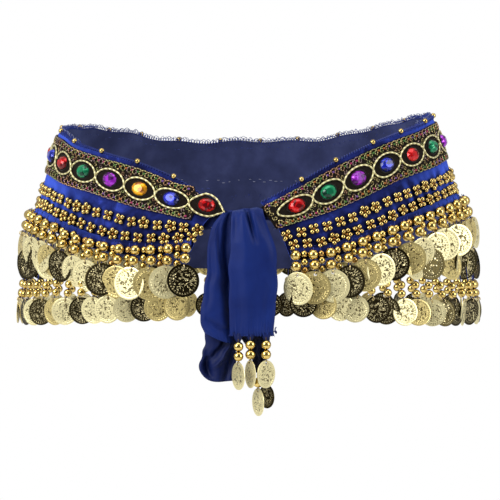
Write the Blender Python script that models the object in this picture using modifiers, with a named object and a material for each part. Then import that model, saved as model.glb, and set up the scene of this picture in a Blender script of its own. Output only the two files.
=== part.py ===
"""A belly dance hip scarf, tied at the front, in the hollow form that it has when it is worn.

A velvet band goes round the hips, deepest at the back and narrow at its two front ends. A gem
braid is sewn along its top edge. A fringe of beads and coins hangs from a tape near its hem. Two
chiffon ties join the ends in a knot, and their loop and tail hang down in front.

The origin is on the wearer's axis, level with the knot. +X is the viewer's right, and the front
faces -Y. A course is an angle round the hips in degrees: 0 is the front, 90 is +X, 180 the back.
"""

import math

import bmesh
import bpy
from mathutils import Vector

MM = 0.001
SEAM = 0.3 * MM

# The general figure that the scarf is worn on: an ellipse that narrows towards the waist.
HIP_HALF_WIDTH = 179 * MM
HIP_DEPTH_SHARE = 0.72
HIP_LEVEL = -115 * MM
HIP_TAPER = 0.933

# The cloth and the braid.
VELVET_THICKNESS = 2.0 * MM
RIPPLE_DEPTH = 0.9 * MM
RIPPLES_ROUND = 11
EDGE_WAVE = 1.0 * MM
EDGE_WAVES_ROUND = 20
BRAID_WIDTH = 29 * MM
BRAID_THICKNESS = 1.2 * MM
EDGE_ABOVE_BRAID = 3.5 * MM
END_SLANT_REACH = 45
RIGHT_END = {"top": 3.0, "hem": 10.6}
LEFT_END = {"top": 353.0, "hem": 345.2}

# The stones on the braid.
GEM_PITCH = 28.5 * MM
GEM_HALF_LENGTH = 8.2 * MM
GEM_HALF_HEIGHT = 7.2 * MM
GEM_RISE = 4.6 * MM
FIRST_GEM = 12.2
LAST_GEM = 349.4

# The fringe of beads and coins.
STRANDS = 65
FIRST_STRAND = 10.4
LAST_STRAND = 345.4
BEAD = 8.0 * MM
LOWER_BEAD = 6.6 * MM
BEAD_SIDE = 0.425
THREAD = 1.6 * MM
COIN = 25 * MM
LOWER_COIN = 21 * MM
COIN_THICKNESS = 1.0 * MM
COIN_TURN = 11.0
TAPE_HEIGHT = 2.0 * MM
TAPE_INNER_TOP = VELVET_THICKNESS + SEAM
TAPE_INNER_BOTTOM = 3.4 * MM
TAPE_SPLIT = 5.4 * MM
TAPE_OUTER = 8.5 * MM
UPPER_BEAD_OUT = 9.2 * MM
UPPER_COIN_OUT = 9.8 * MM
LOWER_COIN_OUT = 6.0 * MM
ROOM_FOR_MIDDLE_COIN = 14 * MM

# The ties.
CHIFFON_THICKNESS = 1.1 * MM
EDGE_FALL_BACK = 3.0 * MM

# Heights in millimetres at sections round the band: its top edge, the middle of the braid, the
# middle of the first row of large beads, the hem, and the lowest point of the coins.
SECTION_COLUMNS = ("course", "top", "braid", "beads", "hem", "coins")
SECTIONS = (
    (-5, 0, -4, -30, -34, -74),
    (3, 10, 2, -30, -34, -75),
    (12, 23, 10, -29, -33, -76),
    (21, 36, 18, -27, -31, -79),
    (30, 47, 27.5, -19, -23, -82),
    (44, 59, 41, -7, -11, -85),
    (61, 68, 50, 3.5, -1, -87),
    (78, 75, 56.5, 9, 4, -88),
    (107, 76.5, 58, 8, -8, -89),
    (135, 68, 49.5, -2, -31, -90),
    (157, 58.5, 40, -11, -46, -91),
    (180, 57.5, 39, -13, -51, -92),
    (203, 57, 38.5, -12, -47, -91),
    (225, 65, 46.5, -7, -34, -90),
    (250, 68, 49.5, -2, -16, -89),
    (284, 63, 44.5, -3, -8, -88),
    (301, 54, 37, -10.5, -15, -86),
    (315, 47, 30.5, -20, -24, -84),
    (330, 38, 20.5, -26, -30, -81),
    (342, 25, 13.5, -24, -28, -79),
    (353, 6, 5, -20, -24, -77),
    (362, -6, -3, -18, -22, -75),
)

# Rows of the ties, from the first to the last, in millimetres: the height, how far in front of
# the wearer's axis the cloth lies, its left and right edges, and how deep its folds are.
TIE_COLUMNS = ("height", "front", "left", "right", "fold")
FRONT_TAIL_ROWS = (
    (-7, 119.1, -10, 5, 0.6),
    (1, 118.3, -11, 7, 0.6),
    (7.5, 121.0, -12, 8.5, 0.8),
    (10.0, 126.0, -12.5, 9.5, 1.0),
    (7.5, 132.0, -12.8, 10.5, 1.6),
    (1, 136.0, -13.0, 12.0, 2.4),
    (-9, 138.0, -13.5, 15.0, 2.6),
    (-20, 139.0, -14.3, 18.5, 2.0),
    (-34, 139.5, -15.0, 21.0, 1.4),
    (-53, 139.5, -15.0, 21.3, 1.2),
    (-75, 138.7, -15.0, 19.4, 1.5),
    (-86, 138.3, -14.6, 18.6, 2.0),
)
LOOP_ROWS = (
    (3, 131.9, -19.5, -11.8, 0.4),
    (-4, 132.3, -25.5, -11.6, 1.0),
    (-11, 132.5, -29.3, -11.6, 1.6),
    (-22, 132.5, -30.8, -11.6, 2.2),
    (-34, 132.7, -31.6, -11.6, 2.2),
    (-50, 132.9, -33.0, -11.4, 2.0),
    (-64, 133.2, -35.3, -11.2, 1.8),
    (-79, 133.5, -36.8, -11.0, 1.5),
    (-88, 133.1, -33.5, -10.5, 1.0),
)
LOOP_SAG = 8.5 * MM
LOOP_BACK_ROWS = (
    (-70, 128.9, -32.0, -9.0, 1.0),
    (-84, 129.1, -33.0, -9.0, 1.3),
    (-98, 129.3, -33.8, -9.2, 1.8),
    (-109, 129.5, -35.3, -9.6, 2.1),
    (-117, 129.7, -38.0, -10.2, 2.2),
    (-124, 129.9, -34.0, -11.0, 1.8),
)
TAIL_POINT_ROWS = (
    (-80, 135.0, -10.0, 17.4, 1.2),
    (-87, 134.0, -8.0, 16.8, 1.2),
    (-95, 131.7, -4.0, 15.6, 1.3),
    (-103, 131.5, 0.5, 13.6, 1.2),
    (-112, 131.5, 3.6, 12.4, 0.8),
    (-118, 131.5, 5.2, 12.0, 0.4),
)

# Rows of the straps and the knot between the two ends of the band, in millimetres.
STRAP_COLUMNS = ("across", "height", "front", "half_height", "half_thickness")
LEFT_STRAP_ROWS = (
    (-37, -3.0, 113.5, 8.0, 1.1),
    (-30, -2.5, 115.4, 8.0, 1.1),
    (-23, -1.5, 116.8, 7.0, 1.2),
    (-16, -0.5, 120.5, 5.0, 1.8),
    (-9.6, 0.0, 125.1, 4.4, 3.0),
)
KNOT_ROWS = (
    (-9.3, 0.0, 125.3, 4.6, 3.2),
    (-6.0, 0.4, 126.1, 6.6, 4.1),
    (-1.5, 0.6, 126.3, 7.0, 4.3),
    (3.0, 0.8, 126.1, 6.4, 4.0),
    (5.7, 1.0, 125.3, 4.6, 3.2),
)
RIGHT_STRAP_ROWS = (
    (6.0, 1.0, 124.4, 4.4, 2.8),
    (8.6, 1.4, 119.5, 4.7, 2.0),
    (12, 1.7, 116.7, 5.2, 1.3),
    (18, 2.2, 116.2, 6.0, 1.2),
    (29, 3.0, 114.4, 6.4, 1.1),
)
STRAP_SIDES = 12

# Strands on the tail's gathered end and on its point, in millimetres: where each hangs, where its
# beads start, and the size of its coin. Then come the number of beads and the coin's turn.
TASSEL_COLUMNS = ("across", "front", "top", "coin")
TAIL_TASSEL = (
    (-8.0, 138.5, -94.0, 21.0, 2, 56),
    (1.0, 138.7, -92.6, 21.0, 2, 65),
    (12.8, 138.3, -92.6, 21.0, 2, -50),
)
POINT_TASSEL = (
    (6.9, 131.9, -121.6, 21.0, 1, 66),
    (13.4, 129.7, -126.4, 18.0, 0, 52),
)
TAIL_STRIP_TOP = -86.3 * MM
POINT_STRIP_TOP = -118.3 * MM
STRIP_HEIGHT = 1.6 * MM
TASSEL_BEAD = 7.4 * MM


def clear_scene():
    """Removes what the scene starts with."""
    for thing in list(bpy.data.objects):
        bpy.data.objects.remove(thing)


def new_material(name, colour, roughness, metallic):
    """A plain finish for the pieces of one kind."""
    material = bpy.data.materials.new(name)
    material.use_nodes = True
    shader = material.node_tree.nodes["Principled BSDF"]
    shader.inputs["Base Color"].default_value = (*colour, 1.0)
    shader.inputs["Roughness"].default_value = roughness
    shader.inputs["Metallic"].default_value = metallic
    return material


def section(course, column):
    """A height of the band at a course, on a smooth curve through the section table, in metres."""
    place = SECTION_COLUMNS.index(column)
    last = len(SECTIONS) - 3
    at = next((i for i in range(1, last) if course < SECTIONS[i + 1][0]), last)
    before, low, high, after = SECTIONS[at - 1 : at + 3]
    gap = high[0] - low[0]
    share = (course - low[0]) / gap
    rise_low = (high[place] - before[place]) / (high[0] - before[0]) * gap
    rise_high = (after[place] - low[place]) / (after[0] - low[0]) * gap
    square, cube = share**2, share**3
    value = (2 * cube - 3 * square + 1) * low[place] + (cube - 2 * square + share) * rise_low
    value += (3 * square - 2 * cube) * high[place] + (cube - square) * rise_high
    return value * MM


def half_width(height):
    """Half the figure's width at a height."""
    return HIP_HALF_WIDTH - HIP_TAPER * max(0.0, height - HIP_LEVEL) ** 2


def outward(course, height):
    """The level direction away from the body."""
    turn = math.radians(course)
    wide = half_width(height)
    return Vector((HIP_DEPTH_SHARE * wide * math.sin(turn), -wide * math.cos(turn), 0)).normalized()


def along(course, height):
    """The level direction round the body, towards larger courses."""
    away = outward(course, height)
    return Vector((-away.y, away.x, 0))


def on_hips(course, height, out):
    """A point on the figure, set off from it by out. The cloth's long soft ripples are in it."""
    turn = math.radians(course)
    wide = half_width(height)
    ripple = RIPPLE_DEPTH * math.sin(RIPPLES_ROUND * turn) * math.sin(turn / 2) ** 2
    point = Vector((wide * math.sin(turn), -HIP_DEPTH_SHARE * wide * math.cos(turn), height))
    return point + (out + ripple) * outward(course, height)


def top_edge(course):
    """The height of the band's top edge, which waves a little behind the wearer."""
    turn = math.radians(course)
    wave = EDGE_WAVE * math.sin(EDGE_WAVES_ROUND * turn) * math.sin(turn / 2) ** 4
    return section(course, "top") + wave


def braid_stretch(course):
    """How much longer a line across the sloping braid is, measured upright."""
    step = 1.0
    low = on_hips(course - step, section(course - step, "braid"), 0)
    high = on_hips(course + step, section(course + step, "braid"), 0)
    level = math.hypot(high.x - low.x, high.y - low.y)
    return math.hypot(1.0, (high.z - low.z) / level)


def braid_bottom(course):
    return section(course, "braid") - BRAID_WIDTH / 2 * braid_stretch(course)


def braid_top(course):
    """The braid's top, which is folded under where the edge of the band dips to the knot."""
    free = section(course, "braid") + BRAID_WIDTH / 2 * braid_stretch(course)
    return min(free, section(course, "top") - EDGE_ABOVE_BRAID)


def hem(course):
    return section(course, "hem")


def below_braid(course):
    """A line half way between the braid and the hem."""
    return (braid_bottom(course) + hem(course)) / 2


def mix(low, high, share):
    return low + (high - low) * share


def slanted(course, depth):
    """A course moved along near the band's ends, which slant from the top edge down to the hem."""
    from_right = max(0.0, 1 - (course - RIGHT_END["top"]) / END_SLANT_REACH)
    from_left = max(0.0, 1 - (LEFT_END["top"] - course) / END_SLANT_REACH)
    course += (RIGHT_END["hem"] - RIGHT_END["top"]) * depth * from_right**2
    return course + (LEFT_END["hem"] - LEFT_END["top"]) * depth * from_left**2


def courses_at_pitch(line, first, last, count):
    """Courses spaced evenly by length along a line of the band."""
    steps = 1400
    fine = [mix(first, last, i / steps) for i in range(steps + 1)]
    points = [on_hips(course, line(course), 0) for course in fine]
    lengths = [0.0]
    for before, after in zip(points, points[1:]):
        lengths.append(lengths[-1] + (after - before).length)
    found = []
    for number in range(count):
        wanted = lengths[-1] * number / (count - 1)
        at = next((i for i in range(1, steps) if lengths[i] >= wanted), steps)
        share = (wanted - lengths[at - 1]) / (lengths[at] - lengths[at - 1])
        found.append(mix(fine[at - 1], fine[at], share))
    return found


def line_length(line, first, last):
    """The length along a line of the band between two courses."""
    steps = 700
    points = [on_hips(c, line(c), 0) for c in (mix(first, last, i / steps) for i in range(steps + 1))]
    return sum((after - before).length for before, after in zip(points, points[1:]))


def finish_mesh(name, shape, material):
    """Makes a bmesh an object with its faces pointing out."""
    bmesh.ops.recalc_face_normals(shape, faces=shape.faces)
    mesh = bpy.data.meshes.new(name)
    shape.to_mesh(mesh)
    shape.free()
    mesh.materials.append(material)
    made = bpy.data.objects.new(name, mesh)
    pieces.objects.link(made)
    mesh.shade_smooth()
    mesh.set_sharp_from_angle(angle=math.radians(35))
    return made


def grid_faces(shape, rows):
    """Quads between neighbouring rows of vertices."""
    for upper, lower in zip(rows, rows[1:]):
        for left in range(len(upper) - 1):
            shape.faces.new((upper[left], upper[left + 1], lower[left + 1], lower[left]))


def wall(name, outer, inner, material):
    """A closed wall between an outer and an inner grid, which have as many points in each row."""
    shape = bmesh.new()
    outside = [[shape.verts.new(point) for point in row] for row in outer]
    inside = [[shape.verts.new(point) for point in row] for row in inner]
    grid_faces(shape, outside)
    grid_faces(shape, [row[::-1] for row in inside])
    grid_faces(shape, [inside[0], outside[0]])
    grid_faces(shape, [outside[-1], inside[-1]])
    for end in (0, -1):
        shape.faces.new([row[end] for row in outside] + [row[end] for row in reversed(inside)])
    return finish_mesh(name, shape, material)


def velvet_band(material):
    """The velvet, as one wall round the hips, open at the front."""
    columns = 76
    lines = (top_edge, braid_top, braid_bottom, below_braid, hem)
    depths = (0.0, 0.12, 0.6, 0.8, 1.0)
    faces = []
    for out in (VELVET_THICKNESS, 0.0):
        rows = []
        for line, depth in zip(lines, depths):
            spread = (mix(RIGHT_END["top"], LEFT_END["top"], i / columns) for i in range(columns + 1))
            places = [slanted(course, depth) for course in spread]
            rows.append([on_hips(course, line(course), out) for course in places])
        faces.append(rows)
    return wall("velvet_band", faces[0], faces[1], material)


def gem_height(along_braid, across_braid):
    """How far a stone's dome rises over the braid, at a place measured from its middle."""
    reach = (along_braid / GEM_HALF_LENGTH) ** 2 + (across_braid / GEM_HALF_HEIGHT) ** 2
    return GEM_RISE * math.sqrt(max(0.0, 1 - reach))


def gem_braid(material):
    """The braid along the top edge, with the domes of its stones raised in the outer points."""
    count = round(line_length(braid_top, FIRST_GEM, LAST_GEM) / GEM_PITCH) + 1
    gems = courses_at_pitch(lambda course: section(course, "braid"), FIRST_GEM, LAST_GEM, count)
    edges = [mix(low, high, 0.5) for low, high in zip(gems, gems[1:])]
    edges = [RIGHT_END["top"] + 0.6] + edges + [LEFT_END["top"] - 0.6]
    steps = (-0.5, -0.27, -0.11, 0.11, 0.27)
    heights = (0.0, 0.27, 0.37, 0.5, 0.63, 0.73, 1.0)
    outer = [[] for _ in heights]
    inner = [[], []]
    inner_out = VELVET_THICKNESS + SEAM
    for number, gem in enumerate(gems):
        low, high = edges[number], edges[number + 1]
        for step in steps:
            course = gem + 2 * step * (gem - low if step < 0 else high - gem)
            add_braid_column(outer, inner, course, step * GEM_PITCH, heights, inner_out)
    add_braid_column(outer, inner, edges[-1], GEM_PITCH / 2, heights, inner_out)
    return wall("gem_braid", outer, inner, material)


def add_braid_column(outer, inner, course, from_gem, heights, inner_out):
    """One upright line of the braid's outer points, over two plain inner ones."""
    for row, height in zip(outer, heights):
        at = slanted(course, mix(0.12, 0.6, height))
        across = (height - 0.5) * BRAID_WIDTH
        rise = gem_height(from_gem, across)
        level = mix(braid_top(at), braid_bottom(at), height)
        row.append(on_hips(at, level, inner_out + BRAID_THICKNESS + rise))
    for row, line, depth in zip(inner, (braid_top, braid_bottom), (0.12, 0.6)):
        at = slanted(course, depth)
        row.append(on_hips(at, line(at), inner_out))


def ring(shape, centre, across, away, half_width_, half_depth, turn=0.0):
    """Four vertices round a strand's axis, turned about it by an angle in degrees."""
    angle = math.radians(turn)
    side = math.cos(angle) * across + math.sin(angle) * away
    front = math.cos(angle) * away - math.sin(angle) * across
    corners = ((-1, 1), (1, 1), (1, -1), (-1, -1))
    return [shape.verts.new(centre + a * half_width_ * side + b * half_depth * front) for a, b in corners]


def skin(shape, rings):
    """Side faces down a strand, and the face that closes its lower end."""
    for upper, lower in zip(rings, rings[1:]):
        for i in range(4):
            after = (i + 1) % 4
            shape.faces.new((upper[i], upper[after], lower[after], lower[i]))
    shape.faces.new(rings[-1])


def coin_levels(diameter):
    """Heights from a coin's middle and half widths there, for an eight-sided disc."""
    corner = diameter / 2 / math.cos(math.pi / 8)
    angles = [math.pi / 8 + i * math.pi / 4 for i in range(4)]
    return [(corner * math.cos(angle), corner * math.sin(angle)) for angle in angles]


def strand_rings(shape, plan, place):
    """The rings of a strand from its plan of levels: height, out, half width, half depth, turn."""
    rings = []
    for height, out, wide, deep, turn in plan:
        centre, across, away = place(height, out)
        rings.append(ring(shape, centre, across, away, wide, deep, turn))
    return rings


def bead_plan(top, out, diameter):
    """A bead as a wide level and the neck under it."""
    neck = THREAD / 2
    side = BEAD_SIDE * diameter
    return [
        (top - diameter / 2, out, side, side, 0.0),
        (top - diameter, out, neck, neck, 0.0),
    ]


def coin_plan(top, out, diameter, turn):
    """A coin as four levels of an eight-sided disc."""
    middle = top - diameter / 2
    half = COIN_THICKNESS / 2
    return [(middle + rise, out, wide, half, turn) for rise, wide in coin_levels(diameter)]


def upper_strand(course, turn):
    """Two large beads and a coin, which hang from the front half of the tape."""
    level = section(course, "beads")
    plan = bead_plan(level + BEAD / 2, UPPER_BEAD_OUT, BEAD)
    plan += bead_plan(level - BEAD / 2 - 0.3 * MM, UPPER_BEAD_OUT + 0.4 * MM, BEAD)
    return plan + coin_plan(level - 1.5 * BEAD - 0.8 * MM, UPPER_COIN_OUT, COIN, turn)


def lower_strand(course, turn):
    """A long thread behind the upper coins, with a middle coin where there is room, then two
    beads and the lowest coin."""
    bottom = section(course, "coins")
    beads_top = bottom + LOWER_COIN + 0.6 * MM + 2 * LOWER_BEAD
    upper_coin_bottom = section(course, "beads") - 1.5 * BEAD - COIN
    neck = THREAD / 2
    plan = []
    if upper_coin_bottom - beads_top > ROOM_FOR_MIDDLE_COIN:
        middle_top = beads_top + 0.6 * MM + COIN
        plan.append((middle_top + 0.6 * MM, LOWER_COIN_OUT, neck, neck, 0.0))
        plan += coin_plan(middle_top, LOWER_COIN_OUT, COIN, turn)
    plan.append((beads_top, LOWER_COIN_OUT - 1.5 * MM, neck, neck, 0.0))
    plan += bead_plan(beads_top, LOWER_COIN_OUT - 1.4 * MM, LOWER_BEAD)
    plan += bead_plan(beads_top - LOWER_BEAD, LOWER_COIN_OUT - 1.2 * MM, LOWER_BEAD)
    return plan + coin_plan(bottom + LOWER_COIN, LOWER_COIN_OUT, LOWER_COIN, turn)


def tape_section(shape, course):
    """Five vertices round the tape: its outer top and bottom, the split, and its inner side."""
    bottom = section(course, "beads") + BEAD / 2 - 0.4 * MM
    top = bottom + TAPE_HEIGHT
    outer = [(top, TAPE_OUTER), (bottom, TAPE_OUTER), (bottom, TAPE_SPLIT)]
    inner = [(bottom, TAPE_INNER_BOTTOM), (top, TAPE_INNER_TOP)]
    return [shape.verts.new(on_hips(course, level, out)) for level, out in outer + inner]


def hanging_from(course):
    """How a strand's levels become places at a course."""

    def place(height, out):
        return on_hips(course, height, out), along(course, height), outward(course, height)

    return place


def fringe(name, courses, first_column, material):
    """A stretch of the fringe. Each column of its tape carries an upper or a lower strand."""
    shape = bmesh.new()
    half_seam = 0.08
    starts = list(courses)
    starts[0] += half_seam
    starts[-1] -= half_seam
    sections = [tape_section(shape, course) for course in starts]
    for number, (left, right) in enumerate(zip(sections, sections[1:])):
        upper = (first_column + number) % 2 == 0
        course = mix(courses[number], courses[number + 1], 0.5)
        turn = COIN_TURN if course < 180 else -COIN_TURN
        for i in (0, 3, 4):
            after = (i + 1) % 5
            shape.faces.new((left[i], right[i], right[after], left[after]))
        front_root = [left[1], right[1], right[2], left[2]]
        back_root = [left[2], right[2], right[3], left[3]]
        root, plain = (front_root, back_root) if upper else (back_root, front_root)
        plan = upper_strand(course, turn) if upper else lower_strand(course, turn)
        skin(shape, [root] + strand_rings(shape, plan, hanging_from(course)))
        shape.faces.new(plain)
    shape.faces.new(sections[0])
    shape.faces.new(sections[-1])
    return finish_mesh(name, shape, material)


def fringes(material):
    """The whole fringe, in three stretches that meet at seams."""
    def bead_line(course):
        return section(course, "beads")

    columns = 2 * STRANDS + 1
    courses = courses_at_pitch(bead_line, FIRST_STRAND, LAST_STRAND, columns + 1)
    cuts = (0, columns // 3, 2 * columns // 3, columns)
    names = ("coin_fringe_right", "coin_fringe_back", "coin_fringe_left")
    for name, first, last in zip(names, cuts, cuts[1:]):
        fringe(name, courses[first : last + 1], first, material)


def named(columns, row):
    """A table's row as values in metres under their column names."""
    return {column: value * MM for column, value in zip(columns, row)}


def fold_shape(share, folds):
    """A fold's depth across the cloth, from -1 to 1, with sharper ridges than a sine."""
    wave = math.cos(2 * math.pi * folds * share)
    return 0.75 * wave + 0.25 * math.cos(4 * math.pi * folds * share)


def hanging_cloth(name, rows, folds, columns, sag, material):
    """A gathered stretch of chiffon, lofted through the rows of a table and given its thickness."""
    shape = bmesh.new()
    grid = []
    for number, row in enumerate(rows):
        at = named(TIE_COLUMNS, row)
        line = []
        for i in range(columns + 1):
            share = i / columns
            out = at["front"] + at["fold"] * fold_shape(share, folds)
            out -= EDGE_FALL_BACK * (2 * share - 1) ** 4
            drop = sag * share * number / (len(rows) - 1)
            line.append(shape.verts.new((mix(at["left"], at["right"], share), -out, at["height"] - drop)))
        grid.append(line)
    grid_faces(shape, grid)
    made = finish_mesh(name, shape, material)
    solid = made.modifiers.new("thickness", "SOLIDIFY")
    solid.thickness = CHIFFON_THICKNESS
    solid.offset = 0.0
    return made


def strap(name, rows, material):
    """A stretch of strap or knot, lofted through oval sections and closed at both ends."""
    shape = bmesh.new()
    rings = []
    for row in rows:
        at = named(STRAP_COLUMNS, row)
        line = []
        for i in range(STRAP_SIDES):
            angle = 2 * math.pi * i / STRAP_SIDES
            forward = at["front"] + at["half_thickness"] * math.cos(angle)
            height = at["height"] + at["half_height"] * math.sin(angle)
            line.append(shape.verts.new((at["across"], -forward, height)))
        rings.append(line)
    for one, other in zip(rings, rings[1:]):
        for i in range(STRAP_SIDES):
            after = (i + 1) % STRAP_SIDES
            shape.faces.new((one[i], one[after], other[after], other[i]))
    shape.faces.new(rings[0])
    shape.faces.new(rings[-1])
    return finish_mesh(name, shape, material)


def hanging_at(across, front):
    """How the levels of a tassel's strand become places in front of the wearer."""

    def place(height, out):
        return Vector((across, -front - out, height)), Vector((1, 0, 0)), Vector((0, -1, 0))

    return place


def tassel_plan(top, beads, coin, turn):
    """The beads of a tassel's strand, and its coin."""
    neck = THREAD / 2
    plan = [] if beads else [(top, 0.0, neck, neck, 0.0)]
    for number in range(beads):
        plan += bead_plan(top - number * TASSEL_BEAD, 0.0, TASSEL_BEAD)
    return plan + coin_plan(top - beads * TASSEL_BEAD - 0.6 * MM, 0.0, coin, turn)


def strip_section(shape, across, front, top):
    """Four vertices round the strip that a tassel's strands hang from."""
    half_depth = 1.1 * MM
    low = top - STRIP_HEIGHT
    corners = ((top, half_depth), (low, half_depth), (low, -half_depth), (top, -half_depth))
    return [shape.verts.new((across, -front - out, level)) for level, out in corners]


def tassel(name, strands, strip_top, material):
    """Strands of beads and coins, whose roots are in a narrow strip of tape."""
    shape = bmesh.new()
    half_root = 1.2 * MM
    sections = []
    for row in strands:
        at = named(TASSEL_COLUMNS, row)
        for side in (-half_root, half_root):
            sections.append(strip_section(shape, at["across"] + side, at["front"], strip_top))
    for number, (left, right) in enumerate(zip(sections, sections[1:])):
        for i in (0, 2, 3):
            after = (i + 1) % 4
            shape.faces.new((left[i], right[i], right[after], left[after]))
        root = [left[1], right[1], right[2], left[2]]
        if number % 2:
            shape.faces.new(root)
            continue
        at = named(TASSEL_COLUMNS, strands[number // 2])
        beads, turn = strands[number // 2][-2:]
        plan = tassel_plan(at["top"], beads, at["coin"], turn)
        skin(shape, [root] + strand_rings(shape, plan, hanging_at(at["across"], at["front"])))
    shape.faces.new(sections[0])
    shape.faces.new(sections[-1])
    return finish_mesh(name, shape, material)


clear_scene()
pieces = bpy.data.collections.new("hip_scarf")
bpy.context.scene.collection.children.link(pieces)

velvet = new_material("velvet", (0.02, 0.05, 0.42), 0.8, 0.0)
braid = new_material("braid", (0.10, 0.08, 0.03), 0.5, 0.2)
gold = new_material("gold", (0.80, 0.62, 0.22), 0.25, 1.0)
chiffon = new_material("chiffon", (0.02, 0.06, 0.36), 0.6, 0.0)

velvet_band(velvet)
gem_braid(braid)
fringes(gold)
strap("tie_strap_left", LEFT_STRAP_ROWS, chiffon)
strap("tie_knot", KNOT_ROWS, chiffon)
strap("tie_strap_right", RIGHT_STRAP_ROWS, chiffon)
hanging_cloth("tie_front_tail", FRONT_TAIL_ROWS, 3, 16, 0.0, chiffon)
hanging_cloth("tie_loop", LOOP_ROWS, 1.5, 10, LOOP_SAG, chiffon)
hanging_cloth("tie_loop_back", LOOP_BACK_ROWS, 2, 10, 0.0, chiffon)
hanging_cloth("tie_tail_point", TAIL_POINT_ROWS, 2.5, 10, 0.0, chiffon)
tassel("tail_tassel", TAIL_TASSEL, TAIL_STRIP_TOP, gold)
tassel("point_tassel", POINT_TASSEL, POINT_STRIP_TOP, gold)
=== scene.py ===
"""The looks of a belly dance hip scarf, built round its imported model.

The band's sections, the rows of the ties and the places of the strands are those of the part, so
each piece lies where its solid does. Lengths are metres and a course is an angle in degrees round
the hips: 0 is the front, 90 the viewer's right, 180 the back.
"""

import math

import bmesh
import bpy
import numpy as np
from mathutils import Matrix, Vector


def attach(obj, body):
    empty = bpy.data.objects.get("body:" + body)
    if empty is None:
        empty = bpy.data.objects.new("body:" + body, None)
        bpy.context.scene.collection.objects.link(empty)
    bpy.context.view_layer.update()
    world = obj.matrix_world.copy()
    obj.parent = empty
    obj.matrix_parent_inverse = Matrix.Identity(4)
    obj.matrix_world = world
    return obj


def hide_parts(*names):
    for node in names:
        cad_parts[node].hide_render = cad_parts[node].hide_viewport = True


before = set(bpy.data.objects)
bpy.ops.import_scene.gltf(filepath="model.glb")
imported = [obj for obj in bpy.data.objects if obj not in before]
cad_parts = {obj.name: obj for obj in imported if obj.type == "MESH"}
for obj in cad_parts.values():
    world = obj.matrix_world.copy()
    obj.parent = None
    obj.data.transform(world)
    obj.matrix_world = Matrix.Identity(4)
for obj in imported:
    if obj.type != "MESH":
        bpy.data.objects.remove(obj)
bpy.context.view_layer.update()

MM = 0.001

# The figure that the scarf is worn on, and the cloth, as in the part.
HIP_HALF_WIDTH = 179 * MM
HIP_DEPTH_SHARE = 0.72
HIP_LEVEL = -115 * MM
HIP_TAPER = 0.933
VELVET_THICKNESS = 2.0 * MM
SEAM = 0.3 * MM
RIPPLE_DEPTH = 0.9 * MM
RIPPLES_ROUND = 11
EDGE_WAVE = 1.0 * MM
EDGE_WAVES_ROUND = 20
BRAID_WIDTH = 29 * MM
EDGE_ABOVE_BRAID = 3.5 * MM
END_SLANT_REACH = 45
RIGHT_END = {"top": 3.0, "hem": 10.6}
LEFT_END = {"top": 353.0, "hem": 345.2}
GEM_PITCH = 28.5 * MM
FRAME_HALF_LENGTH = 14.1 * MM
FRAME_HALF_HEIGHT = 8.1 * MM
COURSE_LENGTH = 2.7 * MM
FIRST_GEM = 10.6
LAST_GEM = 350.6
LAST_GEM_SHIFT = 1.1
LAST_FRAME_LEAN = 0.22
FRAME_POINT = 1.15
LAST_FRAME_POINT = 2.0
BRAID_START = 2.1
BRAID_FINISH = 348.7
FIRST_FRAME = 4.8
LAST_FRAME = 357.0
END_CUT = 2.7
END_OVER_EDGE = {"first": 336.5, "last": 350.5, "rise": 18.8 * MM, "fall": 1.5 * MM}
STRANDS = 65
FIRST_STRAND = 10.4
LAST_STRAND = 345.4
BEAD = 8.0 * MM
LOWER_BEAD = 6.6 * MM
COIN = 25 * MM
LOWER_COIN = 21 * MM
COIN_TURN = 11.0
END_COIN_TURN = 50.0
END_STRANDS = (12.0, 341.0)
UPPER_BEAD_OUT = 9.2 * MM
UPPER_COIN_OUT = 9.8 * MM
LOWER_COIN_OUT = 6.0 * MM
ROOM_FOR_MIDDLE_COIN = 5 * MM
EDGE_FALL_BACK = 3.0 * MM
LACE = {"first": 62.0, "last": 300.0, "pitch": 2.1}
# Curls at the braid's right end: the course, how far down the braid, and the size, in mm.
END_CURLS = (
    (3.1, -7.5, 2.5),
    (3.4, -2.0, 2.2),
    (3.6, 3.5, 2.3),
    (4.3, 8.5, 2.4),
    (5.6, -9.8, 2.0),
    (6.6, 10.2, 2.1),
)
TASSEL_PITCH = 7.4 * MM
TASSEL_BEAD = 7.8 * MM
SMALL_COIN = 18 * MM
COIN_HOLE_REACH = 0.80
# Shares of coins drawn in the dark coin material, which is partly tarnish and partly painted dark
# reflection; at the ends, where the coins turn edge-on, the share is high for the painted reflection.
DARK_COINS = {"end": 0.75, "upper": 0.20, "lower": 0.36}
STRAND_THREAD = 0.36 * MM
STONE_SIZE = (6.7 * MM, 5.4 * MM, 4.2 * MM)
FRAME_CORD = 0.72 * MM
CHAIN_CORD = 0.44 * MM
CHAIN_PITCH = 5.6 * MM
CHAIN_START = 3.2 * MM
CHAIN_FROM_MIDDLE = 11.9 * MM
DAISY_PITCH = 10.6 * MM
DAISY_BEAD = 1.95 * MM
DAISY_MIDDLE = 1.5 * MM
EDGE_BEAD = 2.1 * MM
EDGE_BEAD_PITCH = 34 * MM
EDGE_TURNS = 400
TARNISH_SCALE = 120.0
TO_VIEWER = (0.0, -1.0, 0.0)

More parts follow.
